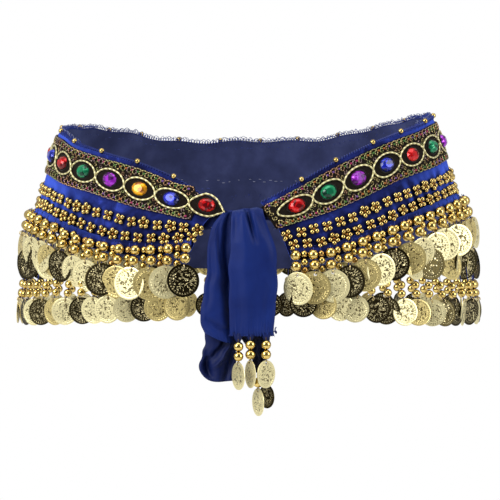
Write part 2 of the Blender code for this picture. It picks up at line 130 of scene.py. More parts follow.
SECTION_COLUMNS = ("course", "top", "braid", "beads", "hem", "coins")
SECTIONS = (
    (-5, 0, -4, -30, -34, -74),
    (3, 10, 2, -30, -34, -75),
    (12, 23, 10, -29, -33, -76),
    (21, 36, 18, -27, -31, -79),
    (30, 47, 27.5, -19, -23, -82),
    (44, 59, 41, -7, -11, -85),
    (61, 68, 50, 3.5, -1, -87),
    (78, 75, 56.5, 9, 4, -88),
    (107, 76.5, 58, 8, -8, -89),
    (135, 68, 49.5, -2, -31, -90),
    (157, 58.5, 40, -11, -46, -91),
    (180, 57.5, 39, -13, -51, -92),
    (203, 57, 38.5, -12, -47, -91),
    (225, 65, 46.5, -7, -34, -90),
    (250, 68, 49.5, -2, -16, -89),
    (284, 63, 44.5, -3, -8, -88),
    (301, 54, 37, -10.5, -15, -86),
    (315, 47, 30.5, -20, -24, -84),
    (330, 38, 20.5, -26, -30, -81),
    (342, 25, 13.5, -24, -28, -79),
    (353, 6, 5, -20, -24, -77),
    (362, -6, -3, -18, -22, -75),
)

TIE_COLUMNS = ("height", "front", "left", "right", "fold")
FRONT_TAIL_ROWS = (
    (-7, 119.1, -10, 5, 0.6),
    (1, 118.3, -11, 7, 0.6),
    (7.5, 121.0, -12, 8.5, 0.8),
    (10.0, 126.0, -12.5, 9.5, 1.0),
    (7.5, 132.0, -12.8, 10.5, 1.6),
    (1, 136.0, -13.0, 12.0, 2.4),
    (-9, 138.0, -13.5, 15.0, 2.6),
    (-20, 139.0, -14.3, 18.5, 2.0),
    (-34, 139.5, -15.0, 21.0, 1.4),
    (-53, 139.5, -15.0, 21.3, 1.2),
    (-75, 138.7, -15.0, 19.4, 1.5),
    (-86, 138.3, -14.6, 18.6, 2.0),
)
HEM_FRILL_ROW = (-90.0, 137.6, -15.0, 19.2, 1.2)
LOOP_ROWS = (
    (3, 131.9, -19.5, -11.8, 0.4),
    (-4, 132.3, -25.5, -11.6, 1.0),
    (-11, 132.5, -29.3, -11.6, 1.6),
    (-22, 132.5, -30.8, -11.6, 2.2),
    (-34, 132.7, -31.6, -11.6, 2.2),
    (-50, 132.9, -33.0, -11.4, 2.0),
    (-64, 133.2, -35.3, -11.2, 1.8),
    (-79, 133.5, -36.8, -11.0, 1.5),
    (-88, 133.1, -33.5, -10.5, 1.0),
)
LOOP_SAG = 8.5 * MM
LOOP_BACK_ROWS = (
    (-70, 128.9, -32.0, -9.0, 1.0),
    (-84, 129.1, -33.0, -9.0, 1.3),
    (-98, 129.3, -33.8, -9.2, 1.8),
    (-109, 129.5, -36.2, -9.6, 2.1),
    (-117, 129.7, -38.0, -10.2, 2.2),
    (-124, 129.9, -36.0, -11.0, 1.8),
)
TAIL_POINT_ROWS = (
    (-80, 135.0, -10.0, 17.4, 1.2),
    (-87, 134.0, -8.0, 16.8, 1.2),
    (-95, 131.7, -4.0, 15.6, 1.3),
    (-103, 131.5, 0.5, 13.6, 1.2),
    (-112, 131.5, 3.6, 12.4, 0.8),
    (-118, 131.5, 5.2, 12.0, 0.4),
)
TAIL_CREASES = (
    (0.44, 0.04, 0.58, 0.46, 1.9, 3.7, 0.6),
    (0.62, 0.08, 0.72, 0.44, 2.6, -1.2, 1.0),
    (0.24, 0.06, 0.13, 0.44, 2.4, 1.3, -0.8),
    (0.33, 0.08, 0.30, 0.66, 4.5, -0.9, 0.5),
    (0.84, 0.10, 0.94, 0.58, 2.4, 1.3, 1.0),
    (0.64, 0.38, 0.56, 1.00, 4.5, 0.8, 1.5),
    (0.18, 0.45, 0.28, 1.02, 4.0, 0.8, -1.5),
    (0.90, 0.58, 0.80, 1.04, 3.0, 1.0, -1.0),
    (0.42, 0.72, 0.40, 1.06, 2.0, -0.5, 0.5),
)
LOOP_CREASES = (
    (0.62, -0.12, 0.97, 0.97, 3.9, 6.2, -1.0),
    (0.28, 0.05, 0.52, 0.42, 1.9, 1.7, 0.5),
    (0.44, -0.02, 0.38, 0.62, 3.0, -1.5, 1.0),
    (0.12, 0.22, 0.17, 0.80, 2.0, 0.9, 0.6),
    (0.12, 0.86, 1.00, 0.91, 2.2, 2.3, -1.0),
    (0.02, 0.97, 1.04, 1.00, 2.6, -1.5, 0.0),
)
LOOP_BACK_CREASES = (
    (0.13, 0.66, 0.30, 0.96, 2.2, 4.2, 0.0),
    (0.04, 0.55, 0.09, 1.02, 1.6, -1.5, -0.5),
    (0.84, 0.38, 0.32, 0.84, 1.9, -3.0, 2.5),
    (0.62, 0.36, 0.20, 0.72, 1.9, 3.0, 2.0),
    (0.88, 0.50, 0.70, 1.05, 2.0, 2.8, 0.5),
    (0.52, 0.72, 0.54, 1.10, 3.0, -1.0, 0.0),
)
TAIL_POINT_CREASES = ((0.4, 0.0, 0.4, 0.9, 1.3, 0.9, 0.3), (0.7, 0.3, 0.7, 1.1, 1.2, 0.9, -0.3))
STRAP_COLUMNS = ("across", "height", "front", "half_height", "half_thickness")
LEFT_STRAP_ROWS = (
    (-37, -3.0, 113.5, 8.0, 1.1),
    (-30, -2.5, 115.4, 8.0, 1.1),
    (-23, -1.5, 116.8, 7.0, 1.2),
    (-16, -0.5, 120.5, 5.0, 1.8),
    (-9.6, 0.0, 125.1, 4.4, 3.0),
)
KNOT_ROWS = (
    (-9.3, 0.0, 125.3, 4.6, 3.2),
    (-6.0, 0.4, 126.1, 6.6, 4.1),
    (-1.5, 0.6, 126.3, 7.0, 4.3),
    (3.0, 0.8, 126.1, 6.4, 4.0),
    (5.7, 1.0, 125.3, 4.6, 3.2),
)
RIGHT_STRAP_ROWS = (
    (6.0, 1.0, 124.4, 4.4, 2.8),
    (8.6, 1.4, 119.5, 4.7, 2.0),
    (12, 1.7, 116.7, 5.2, 1.3),
    (18, 2.2, 116.2, 6.0, 1.2),
    (29, 3.0, 114.4, 6.4, 1.1),
)
TASSEL_COLUMNS = ("across", "front", "top", "coin")
TAIL_TASSEL = (
    (-8.0, 138.5, -94.0, 21.0, 2, 63),
    (1.0, 138.7, -92.6, 21.0, 2, 68),
    (12.8, 138.3, -92.6, 21.0, 2, -50),
)
POINT_TASSEL = (
    (6.9, 131.9, -121.6, 21.0, 1, 66),
    (13.4, 129.7, -126.4, 18.0, 0, 52),
)

# The stones from the right end of the braid round the back to its left end.
STONE_ORDER_RIGHT = ("red", "green", "purple", "blue", "red", "green", "purple")
STONE_ORDER_LEFT = ("red", "blue", "amber", "purple", "green", "red", "blue")


# The band's surface, worked out on arrays of courses.


def section(course, column):
    """A height of the band at each course, on a smooth curve through the section table."""
    rows = np.array(SECTIONS, float)
    where, height = rows[:, 0], rows[:, SECTION_COLUMNS.index(column)]
    course = np.asarray(course, float)
    at = np.clip(np.searchsorted(where, course, side="right") - 1, 1, len(rows) - 3)
    gap = where[at + 1] - where[at]
    share = (course - where[at]) / gap
    rise_low = (height[at + 1] - height[at - 1]) / (where[at + 1] - where[at - 1]) * gap
    rise_high = (height[at + 2] - height[at]) / (where[at + 2] - where[at]) * gap
    square, cube = share**2, share**3
    value = (2 * cube - 3 * square + 1) * height[at] + (cube - 2 * square + share) * rise_low
    value += (3 * square - 2 * cube) * height[at + 1] + (cube - square) * rise_high
    return value * MM


def half_width(height):
    return HIP_HALF_WIDTH - HIP_TAPER * np.maximum(0.0, height - HIP_LEVEL) ** 2


def unit(vectors):
    return vectors / np.linalg.norm(vectors, axis=-1, keepdims=True)


def outward(course, height):
    course, height = np.broadcast_arrays(np.asarray(course, float), height)
    turn = np.radians(course)
    wide = half_width(height)
    level = np.zeros_like(wide)
    return unit(np.stack([HIP_DEPTH_SHARE * wide * np.sin(turn), -wide * np.cos(turn), level], -1))


def on_hips(course, height, out):
    """Points on the figure, set off from it by out. The cloth's long soft ripples are in them."""
    course, height, out = np.broadcast_arrays(np.asarray(course, float), height, out)
    turn = np.radians(course)
    wide = half_width(height)
    ripple = RIPPLE_DEPTH * np.sin(RIPPLES_ROUND * turn) * np.sin(turn / 2) ** 2
    point = np.stack([wide * np.sin(turn), -HIP_DEPTH_SHARE * wide * np.cos(turn), height], -1)
    return point + (out + ripple)[..., None] * outward(course, height)


def top_edge(course):
    turn = np.radians(course)
    wave = EDGE_WAVE * np.sin(EDGE_WAVES_ROUND * turn) * np.sin(turn / 2) ** 4
    return section(course, "top") + wave


def braid_stretch(course):
    """How much longer a line across the sloping braid is, measured upright."""
    low = on_hips(course - 1.0, section(course - 1.0, "braid"), 0)
    high = on_hips(course + 1.0, section(course + 1.0, "braid"), 0)
    level = np.hypot(high[..., 0] - low[..., 0], high[..., 1] - low[..., 1])
    return np.hypot(1.0, (high[..., 2] - low[..., 2]) / level)


def braid_bottom(course):
    return section(course, "braid") - BRAID_WIDTH / 2 * braid_stretch(course)


def braid_top(course):
    """The braid's upper edge, below the velvet's own, but at its left end over it."""
    free = section(course, "braid") + BRAID_WIDTH / 2 * braid_stretch(course)
    end = END_OVER_EDGE
    share = np.clip((course - end["first"]) / (end["last"] - end["first"]), 0, 1)
    fall = end["fall"] * np.maximum(0, course - end["last"])
    return np.minimum(free, section(course, "top") - EDGE_ABOVE_BRAID + end["rise"] * share**2.4 - fall)


def hem(course):
    return section(course, "hem")


def below_braid(course):
    return (braid_bottom(course) + hem(course)) / 2


def mix(low, high, share):
    return low + (high - low) * share


def slanted(course, depth):
    from_right = np.maximum(0.0, 1 - (course - RIGHT_END["top"]) / END_SLANT_REACH)
    from_left = np.maximum(0.0, 1 - (LEFT_END["top"] - course) / END_SLANT_REACH)
    moved = course + (RIGHT_END["hem"] - RIGHT_END["top"]) * depth * from_right**2
    return moved + (LEFT_END["hem"] - LEFT_END["top"]) * depth * from_left**2


def lengths_along(line, courses):
    points = on_hips(courses, line(courses), 0)
    steps = np.linalg.norm(np.diff(points, axis=0), axis=1)
    return np.concatenate([[0.0], np.cumsum(steps)])


def courses_at_pitch(line, first, last, count):
    """Courses spaced evenly by length along a line of the band."""
    fine = np.linspace(first, last, 1401)
    lengths = lengths_along(line, fine)
    return np.interp(np.linspace(0, lengths[-1], count), lengths, fine)


def courses_every(line, first, last, pitch):
    total = lengths_along(line, np.linspace(first, last, 1401))[-1]
    return courses_at_pitch(line, first, last, round(total / pitch) + 1)


def braid_line(course):
    return section(course, "braid")


def bead_line(course):
    return section(course, "beads")


def wander(where, seed, shortest, longest, waves=7):
    """A smooth uneven wave along a length, from about -1 to 1."""
    rng = np.random.default_rng(seed)
    total = np.zeros_like(np.asarray(where, float))
    for _ in range(waves):
        period = rng.uniform(shortest, longest)
        total += np.sin(2 * np.pi * where / period + rng.uniform(0, 2 * np.pi))
    return total / math.sqrt(waves)


# Joined meshes.


class Pile:
    """Gathers many small shapes into one mesh."""

    def __init__(self):
        self.points = []
        self.faces = []
        self.slots = []
        self.maps = []
        self.size = 0

    def add(self, points, faces, slot=0, uv=None):
        points = np.asarray(points, float).reshape(-1, 3)
        self.points.append(points)
        for group in faces:
            group = np.asarray(group, int)
            self.faces.append(group + self.size)
            self.slots.append(np.broadcast_to(slot, len(group)))
        self.maps.append(np.zeros((len(points), 2)) if uv is None else np.asarray(uv).reshape(-1, 2))
        self.size += len(points)

    def cord(self, points, normals, radius, sides, closed=False, slot=0):
        verts, faces, uv = tube(points, normals, radius, sides, closed)
        self.add(verts, faces, slot, uv)

    def copies(self, template, centres, axes, slots=0):
        """Copies of a template at centres, along three axes for each copy."""
        points, faces, uv = template
        placed = centres[:, None] + np.einsum("nk,ckd->cnd", points, axes)
        for copy, slot in zip(placed, np.broadcast_to(slots, len(centres))):
            self.add(copy, faces, slot, uv)

    def build(self, name, *materials):
        mesh = bpy.data.meshes.new(name)
        faces = [face for group in self.faces for face in group.tolist()]
        mesh.from_pydata(np.concatenate(self.points).tolist(), [], faces)
        for look in materials:
            mesh.materials.append(look)
        mesh.polygons.foreach_set("material_index", np.concatenate(self.slots).astype(np.int32))
        corners = np.empty(len(mesh.loops), np.int32)
        mesh.loops.foreach_get("vertex_index", corners)
        layer = mesh.uv_layers.new(name="UVMap")
        layer.data.foreach_set("uv", np.concatenate(self.maps)[corners].ravel().astype(np.float32))
        mesh.shade_smooth()
        made = bpy.data.objects.new(name, mesh)
        bpy.context.scene.collection.objects.link(made)
        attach(made, "root")
        return made


def grid_quads(rows, columns, around=False, closed=False):
    """Quads of a grid. It can close on itself across its columns, and from last row to first."""
    index = np.arange(rows * columns).reshape(rows, columns)
    beside = np.roll(index, -1, axis=1)
    if not around:
        index, beside = index[:, :-1], beside[:, :-1]
    quads = np.stack([index, beside, np.roll(beside, -1, axis=0), np.roll(index, -1, axis=0)], -1)
    return (quads if closed else quads[:-1]).reshape(-1, 4)


def capped_quads(rows, columns):
    """Faces of a tube of rings, with a cap on each end."""
    ring = np.arange(columns)
    return [grid_quads(rows, columns, around=True), [ring[::-1]], [(rows - 1) * columns + ring]]


def tube(points, normals, radius, sides, closed=False):
    """A round cord along points. Its texture runs along its length and round it."""
    points = np.asarray(points, float)
    if closed:
        tangents = np.roll(points, -1, axis=0) - np.roll(points, 1, axis=0)
    else:
        tangents = np.gradient(points, axis=0)
    tangents = unit(tangents)
    side = unit(np.cross(tangents, normals))
    up = np.cross(side, tangents)
    angles = 2 * np.pi * np.arange(sides) / sides
    radius = np.broadcast_to(radius, len(points))[:, None, None]
    ring = np.cos(angles)[None, :, None] * side[:, None] + np.sin(angles)[None, :, None] * up[:, None]
    verts = points[:, None] + radius * ring
    if closed:
        groups = [grid_quads(len(points), sides, around=True, closed=True)]
    else:
        groups = capped_quads(len(points), sides)
    steps = np.linalg.norm(np.diff(points, axis=0), axis=1)
    run = np.concatenate([[0.0], np.cumsum(steps)])
    uv = np.stack(np.broadcast_arrays(run[:, None], angles[None] / (2 * np.pi)), -1)
    return verts, groups, uv


def ball(segments, rings):
    """A sphere of radius 1 whose poles are on its third axis."""
    angle = np.pi * np.arange(1, rings) / rings
    round_ = 2 * np.pi * np.arange(segments) / segments
    body = np.stack(
        np.broadcast_arrays(
            np.sin(angle)[:, None] * np.cos(round_),
            np.sin(angle)[:, None] * np.sin(round_),
            np.cos(angle)[:, None],
        ),
        -1,
    ).reshape(-1, 3)
    points = np.concatenate([body, [[0, 0, 1], [0, 0, -1]]])
    top, bottom = len(body), len(body) + 1
    first = np.arange(segments)
    last = (rings - 2) * segments + first
    caps = np.concatenate(
        [
            np.stack([np.full(segments, top), first, np.roll(first, -1)], -1),
            np.stack([np.full(segments, bottom), np.roll(last, -1), last], -1),
        ]
    )
    quads = grid_quads(rings - 1, segments, around=True)[:, ::-1]
    return points, [quads, caps], np.zeros((len(points), 2))


def ring_bead(segments, around, hole):
    """A bead with a hole along its third axis, 1 in radius."""
    middle, thick = (1 + hole) / 2, (1 - hole) / 2
    turn = 2 * np.pi * np.arange(segments) / segments
    roll = 2 * np.pi * np.arange(around) / around
    reach = middle + thick * np.cos(roll)
    points = np.stack(
        np.broadcast_arrays(
            reach[None] * np.cos(turn)[:, None],
            reach[None] * np.sin(turn)[:, None],
            1.25 * thick * np.sin(roll)[None],
        ),
        -1,
    ).reshape(-1, 3)
    return points, [grid_quads(segments, around, around=True, closed=True)], np.zeros((len(points), 2))


def scaled(template, size):
    points, faces, uv = template
    return points * np.asarray(size), faces, uv


def shell(name, outer, inner, outer_uv, *materials, inner_slot=0):
    """A thin closed cloth between an outer and an inner grid of points."""
    rows, columns = outer.shape[:2]
    pile = Pile()
    count = rows * columns
    quads = grid_quads(rows, columns)
    rim = np.concatenate(
        [
            np.arange(columns),
            np.arange(1, rows) * columns + columns - 1,
            (rows - 1) * columns + np.arange(columns - 1)[::-1],
            np.arange(1, rows - 1)[::-1] * columns,
        ]
    )
    after = np.roll(rim, -1)
    sides = np.stack([rim, rim + count, after + count, after], -1)
    points = np.concatenate([outer.reshape(-1, 3), inner.reshape(-1, 3)])
    uv = np.concatenate([outer_uv.reshape(-1, 2), outer_uv.reshape(-1, 2)])
    pile.add(points, [quads[:, ::-1], quads + count, sides], 0, uv)
    pile.slots = [np.zeros(len(quads)), np.full(len(quads), inner_slot), np.zeros(len(sides))]
    return pile.build(name, *materials)


def frames(points_ahead, points_behind, points_up, points_down):
    """Axes along, up and out at places of the band, each from points round it."""
    along = unit(points_ahead - points_behind)
    up = points_up - points_down
    out = unit(np.cross(along, up))
    return np.stack([along, np.cross(out, along), out], 1)


def turned(axes, yaw=0.0, tilt=0.0, roll=0.0):
    """Axes turned in degrees about their up, their along and their out direction."""
    yaw, tilt, roll = (np.radians(np.broadcast_to(a, len(axes))) for a in (yaw, tilt, roll))
    one, two, three = axes[:, 0], axes[:, 1], axes[:, 2]

    def spin(first, second, angle):
        cosine, sine = np.cos(angle)[:, None], np.sin(angle)[:, None]
        return cosine * first + sine * second, cosine * second - sine * first

    one, three = spin(one, three, yaw)
    three, two = spin(three, two, tilt)
    one, two = spin(one, two, roll)
    return np.stack([one, two, three], 1)


# Materials.


class Look:
    """A procedural material, put together node by node."""

    def __init__(self, name, colour, roughness, metallic=0.0, **sockets):
        self.material = bpy.data.materials.new(name)
        self.material.use_nodes = True
        self.tree = self.material.node_tree
        self.shader = self.tree.nodes["Principled BSDF"]
        self.set("Base Color", colour)
        self.set("Roughness", roughness)
        self.set("Metallic", metallic)
        for socket, value in sockets.items():
            self.set(socket.replace("_", " "), value)

    def put(self, socket, value):
        if isinstance(value, bpy.types.NodeSocket):
            self.tree.links.new(value, socket)
        elif isinstance(value, tuple) and len(value) == 3 and socket.type == "RGBA":
            socket.default_value = (*value, 1.0)
        else:
            socket.default_value = value

    def set(self, socket, value):
        self.put(self.shader.inputs[socket], value)

    def node(self, kind, inputs=(), output=0, **settings):
        made = self.tree.nodes.new(kind)
        for key, value in settings.items():
            setattr(made, key, value)
        for key, value in dict(inputs).items():
            self.put(made.inputs[key], value)
        return made.outputs[output]

    def maths(self, operation, *values):
        return self.node("ShaderNodeMath", dict(enumerate(values)), operation=operation)

    def place(self, kind="Object"):
        return self.node("ShaderNodeTexCoord", output=kind)

    def noise(self, scale, detail=3.0, where=None, rough=0.55, distortion=0.0):
        inputs = {"Scale": scale, "Detail": detail, "Roughness": rough, "Distortion": distortion}
        inputs["Vector"] = self.place() if where is None else where
        return self.node("ShaderNodeTexNoise", inputs)

    def ramp(self, factor, *stops):
        made = self.tree.nodes.new("ShaderNodeValToRGB")
        points = made.color_ramp.elements
        while len(points) < len(stops):
            points.new(1.0)
        for point, (at, colour) in zip(points, stops):
            point.position = at
            point.color = (*colour, 1.0) if isinstance(colour, tuple) else (colour, colour, colour, 1.0)
        self.tree.links.new(factor, made.inputs[0])
        return made.outputs[0]

    def range(self, value, low, high, to_low, to_high):
        inputs = {0: value, 1: low, 2: high, 3: to_low, 4: to_high}
        return self.node("ShaderNodeMapRange", inputs)

    def painted_occlusion_shade(self, colour, dark, distance):
        """A colour that is darker where other parts hem the surface in: painted shade, from ambient
        occlusion.
        """
        open_ = self.node("ShaderNodeAmbientOcclusion", {"Distance": distance}, output=1, samples=6)
        return self.blend(self.range(open_, 0.25, 0.80, 0.0, 1.0), dark, colour)

    def bump(self, height, distance, strength):
        inputs = {"Height": height, "Distance": distance, "Strength": strength}
        self.set("Normal", self.node("ShaderNodeBump", inputs))
        return self

    def first_two(self, vector):
        return [self.node("ShaderNodeSeparateXYZ", {"Vector": vector}, output=n) for n in (0, 1)]

    def blend(self, factor, first, second):
        made = self.tree.nodes.new("ShaderNodeMix")
        made.data_type = "RGBA"
        self.put(made.inputs[0], factor)
        self.put(made.inputs[6], first)
        self.put(made.inputs[7], second)
        return made.outputs[2]


def velvet_look():
    look = Look("velvet", (0.02, 0.05, 0.45), 0.85, Sheen_Weight=1.0, Sheen_Roughness=0.34)
    look.set("Sheen Tint", (0.10, 0.19, 1.0))
    look.set("Specular IOR Level", 0.10)
    crush = look.noise(75.0, 4.0, rough=0.6, distortion=0.9)
    patch = look.noise(26.0, 3.0, distortion=0.5)
    both = look.maths("ADD", look.maths("MULTIPLY", crush, 0.6), look.maths("MULTIPLY", patch, 0.4))
    colour = look.ramp(
        both,
        (0.32, (0.002, 0.003, 0.022)),
        (0.45, (0.005, 0.009, 0.072)),
        (0.57, (0.012, 0.022, 0.16)),
        (0.68, (0.036, 0.066, 0.45)),
    )
    # Painted sheen: the base colour turns a lighter blue where the velvet is seen at a grazing angle.
    painted_grazing_sheen = look.range(look.node("ShaderNodeLayerWeight", {"Blend": 0.5}, output=1), 0.22, 0.80, 0.0, 0.9)
    colour = look.blend(painted_grazing_sheen, colour, (0.06, 0.13, 0.80))
    # Painted shade: the velvet's colour darkens where beads, braid and folds hem it in.
    look.set("Base Color", look.painted_occlusion_shade(colour, (0.002, 0.002, 0.012), 9 * MM))
    pile = look.noise(1500.0, 2.0)
    height = look.maths("ADD", look.maths("MULTIPLY", pile, 0.35), look.maths("MULTIPLY", crush, 1.0))
    return look.bump(height, 0.0008, 0.7).material


def lining_look():
    """The back of the velvet, which is dull and knitted."""
    look = Look("velvet_back", (0.03, 0.045, 0.19), 0.9, Sheen_Weight=0.2, Sheen_Roughness=0.6)
    look.set("Sheen Tint", (0.3, 0.4, 0.9))
    look.set("Specular IOR Level", 0.15)
    cloud = look.noise(45.0, 3.0)
    colour = look.ramp(
        cloud,
        (0.32, (0.015, 0.019, 0.060)),
        (0.52, (0.024, 0.030, 0.088)),
        (0.72, (0.038, 0.047, 0.125)),
    )
    look.set("Base Color", colour)
    return look.bump(look.noise(1100.0, 2.0), 0.0003, 0.6).material


def braid_look():
    """Black ribbed ribbon with metal threads in it."""
    look = Look("braid_ground", (0.006, 0.005, 0.004), 0.8)
    look.set("Specular IOR Level", 0.12)
    fleck = look.noise(900.0, 2.0, rough=0.7)
    lurex = look.range(fleck, 0.66, 0.74, 0.0, 1.0)
    look.set("Base Color", look.blend(lurex, (0.008, 0.005, 0.003), (0.10, 0.075, 0.02)))
    look.set("Metallic", look.maths("MULTIPLY", lurex, 0.6))
    look.set("Roughness", look.range(lurex, 0.0, 1.0, 0.75, 0.35))
    split = look.node("ShaderNodeSeparateXYZ", {"Vector": look.place("UV")})
    ribs = look.maths("SINE", look.maths("MULTIPLY", split, 5200.0))
    return look.bump(look.maths("ADD", ribs, fleck), 0.00025, 0.6).material


def cord_look(name, dark, light, pitch=1500.0, roughness=0.32, metallic=0.85):
    """Twisted metal cord: painted shade in the grooves between its plies winds round it, with the plies
    lighter.
    """
    look = Look(name, light, roughness, metallic)
    along, round_ = look.first_two(look.place("UV"))
    wound = look.maths("MULTIPLY", round_, 2 * math.pi)
    phase = look.maths("ADD", look.maths("MULTIPLY", along, pitch), wound)
    # Painted shade: the colour darkens in the grooves of the twist and lightens on the plies.
    strand = look.range(look.maths("SINE", phase), -1.0, 1.0, 0.0, 1.0)
    look.set("Base Color", look.blend(look.maths("POWER", strand, 0.7), dark, light))
    return look.bump(strand, 0.0004, 0.8).material


def metal_look(name, colour, dark, roughness):
    """Polished plated metal with faint tarnish, and painted shade where other parts crowd it."""
    look = Look(name, colour, roughness, 1.0)
    tarnish = look.noise(TARNISH_SCALE, 4.0, rough=0.65)
    worn = look.blend(look.range(tarnish, 0.52, 0.75, 0.0, 1.0), colour, dark)
    # Painted shade: the metal's colour darkens where other beads, coins and rings are close.
    look.set("Base Color", look.painted_occlusion_shade(worn, tuple(0.2 * part for part in dark), 3 * MM))
    look.set("Roughness", look.range(tarnish, 0.3, 0.8, roughness * 0.7, roughness * 1.7))
    return look.bump(look.noise(TARNISH_SCALE * 5, 2.0), 0.00006, 0.5).material


def coin_look(name, field, line, roughness, metallic=1.0):
    """A stamped coin: a rim of dots round a field of generic curls."""
    look = Look(name, field, roughness, metallic)
    split, other = look.first_two(look.node("ShaderNodeUVMap", uv_map="disc"))
    squares = [look.maths("POWER", part, 2.0) for part in (split, other)]
    reach = look.maths("SQRT", look.maths("ADD", *squares))
    angle = look.maths("ARCTAN2", other, split)
    dots = look.range(look.maths("SINE", look.maths("MULTIPLY", angle, 30.0)), -0.2, 0.5, 0.0, 1.0)
    off_ring = look.maths("ABSOLUTE", look.maths("SUBTRACT", reach, 0.80))
    dots = look.maths("MULTIPLY", dots, look.range(off_ring, 0.02, 0.07, 1.0, 0.0))
    spot = look.place("UV")
    cloud = look.noise(2.7, 1.5, where=spot, distortion=1.2)
    curls = look.range(look.maths("ABSOLUTE", look.maths("SUBTRACT", cloud, 0.5)), 0.022, 0.060, 1.0, 0.0)
    broken = look.range(look.noise(5.0, 1.0, where=spot), 0.42, 0.54, 0.0, 1.0)
    cells = {"Vector": spot, "Scale": 4.4}
    pits = look.range(look.node("ShaderNodeTexVoronoi", cells), 0.16, 0.30, 1.0, 0.0)
    marks = look.maths("MAXIMUM", look.maths("MULTIPLY", curls, broken), pits)
    marks = look.maths("MULTIPLY", marks, look.range(reach, 0.66, 0.74, 1.0, 0.0))
    relief = look.maths("SUBTRACT", 1.0, look.maths("MAXIMUM", marks, look.maths("MULTIPLY", dots, 0.4)))
    # Painted shade: the coin's colour darkens where other coins overlap and crowd it.
    dark = tuple(0.22 * part for part in field)
    look.set("Base Color", look.painted_occlusion_shade(look.blend(relief, line, field), dark, 5 * MM))
    return look.bump(relief, 0.0007, 0.8).material


def stone_look(name, deep, bright):
    """A foil-backed plastic stone, with painted glints: bright and dark patches of the foil's facets in its
    base colour.
    """
    look = Look(name, bright, 0.16, 0.35, Coat_Weight=0.25, Coat_Roughness=0.05)
    look.set("IOR", 1.46)
    # Painted reflection: cells of the foil are lighter or darker, as if each facet caught the light.
    painted_foil_glint = look.node("ShaderNodeTexVoronoi", {"Vector": look.place(), "Scale": 300.0}, output=1)
    light = look.node("ShaderNodeSeparateColor", {"Color": painted_foil_glint})
    look.set("Base Color", look.blend(look.range(light, 0.25, 0.65, 0.0, 1.0), deep, bright))
    return look.material


def chiffon_look(name, dark, light):
    look = Look(name, light, 0.5, Sheen_Weight=0.08, Sheen_Roughness=0.4)
    look.set("Sheen Tint", (0.05, 0.25, 1.0))
    look.set("Specular IOR Level", 0.13)
    cloud = look.noise(38.0, 3.0, distortion=0.4)
    colour = look.blend(look.range(cloud, 0.3, 0.7, 0.0, 1.0), dark, light)
    # Painted shade: the chiffon's colour darkens in its creases and where the ties lie close together.
    look.set("Base Color", look.painted_occlusion_shade(colour, tuple(0.1 * part for part in dark), 16 * MM))
    split, other = look.first_two(look.place("UV"))
    warp = look.maths("SINE", look.maths("MULTIPLY", split, 9000.0))
    weft = look.maths("SINE", look.maths("MULTIPLY", other, 9000.0))
    weave = look.maths("MULTIPLY", warp, weft)
    slub = look.noise(420.0, 2.0)
    height = look.maths("ADD", look.maths("MULTIPLY", weave, 0.2), look.maths("MULTIPLY", slub, 0.6))
    return look.bump(height, 0.0002, 0.5).material


def thread_look(name, colour):
    look = Look(name, colour, 0.8, Sheen_Weight=0.1)
    look.set("Specular IOR Level", 0.2)
    fibre = look.noise(2500.0, 2.0)
    dim = tuple(0.55 * part for part in colour)
    look.set("Base Color", look.blend(fibre, dim, colour))
    return look.bump(fibre, 0.0002, 0.5).material


VELVET = velvet_look()
VELVET_BACK = lining_look()
BRAID = braid_look()
DARK_THREAD = thread_look("dark_thread", (0.012, 0.010, 0.008))
CORD = cord_look("gold_cord", (0.42, 0.36, 0.14), (0.86, 0.80, 0.46), roughness=0.42, metallic=0.6)
CHAIN_CORDS = [
    cord_look(f"chain_{tint}", dark, light, pitch=3000.0, roughness=0.28)
    for tint, dark, light in (
        ("gold", (0.09, 0.06, 0.015), (0.62, 0.51, 0.23)),
        ("rose", (0.07, 0.025, 0.012), (0.58, 0.34, 0.19)),
        ("green", (0.04, 0.05, 0.01), (0.43, 0.45, 0.18)),
        ("violet", (0.05, 0.022, 0.03), (0.45, 0.33, 0.30)),
    )
]
GOLD = metal_look("gold_bead", (0.70, 0.51, 0.16), (0.40, 0.26, 0.07), 0.13)
SMALL_GOLD = metal_look("small_gold_bead", (0.58, 0.42, 0.14), (0.30, 0.19, 0.05), 0.13)
COPPER = metal_look("copper_bead", (0.50, 0.30, 0.09), (0.24, 0.12, 0.03), 0.22)
# Deep copper for the middle beads of the daisies: partly the bead's colour, partly painted shade in the
# ring's middle.
DEEP_COPPER_PAINTED_SHADE = metal_look("deep_copper_painted_shade_bead", (0.34, 0.15, 0.04), (0.14, 0.05, 0.015), 0.3)
RING_METAL = metal_look("ring_metal", (0.72, 0.58, 0.30), (0.35, 0.22, 0.08), 0.25)
COIN_PALE = coin_look("coin_pale", (0.88, 0.79, 0.43), (0.12, 0.09, 0.03), 0.32, metallic=0.6)
COIN_WARM = coin_look("coin_warm", (0.74, 0.60, 0.24), (0.10, 0.07, 0.02), 0.28, metallic=0.75)
# Nearly black coins with light marks: partly tarnish, partly painted dark reflection.
COIN_TARNISH_AND_PAINTED_REFLECTION = coin_look("coin_tarnish_and_painted_reflection", (0.045, 0.036, 0.014), (0.72, 0.62, 0.34), 0.26)
STONE_LOOKS = {
    colour: stone_look(f"stone_{colour}", deep, bright)
    for colour, deep, bright in (
        ("red", (0.12, 0.0, 0.002), (0.62, 0.004, 0.006)),
        ("green", (0.0, 0.035, 0.018), (0.002, 0.25, 0.10)),
        ("purple", (0.06, 0.0, 0.10), (0.36, 0.015, 0.58)),
        ("blue", (0.0, 0.004, 0.07), (0.008, 0.022, 0.48)),
        ("amber", (0.30, 0.09, 0.0), (0.95, 0.44, 0.0)),
    )
}
CHIFFON = chiffon_look("chiffon", (0.003, 0.011, 0.088), (0.006, 0.020, 0.138))
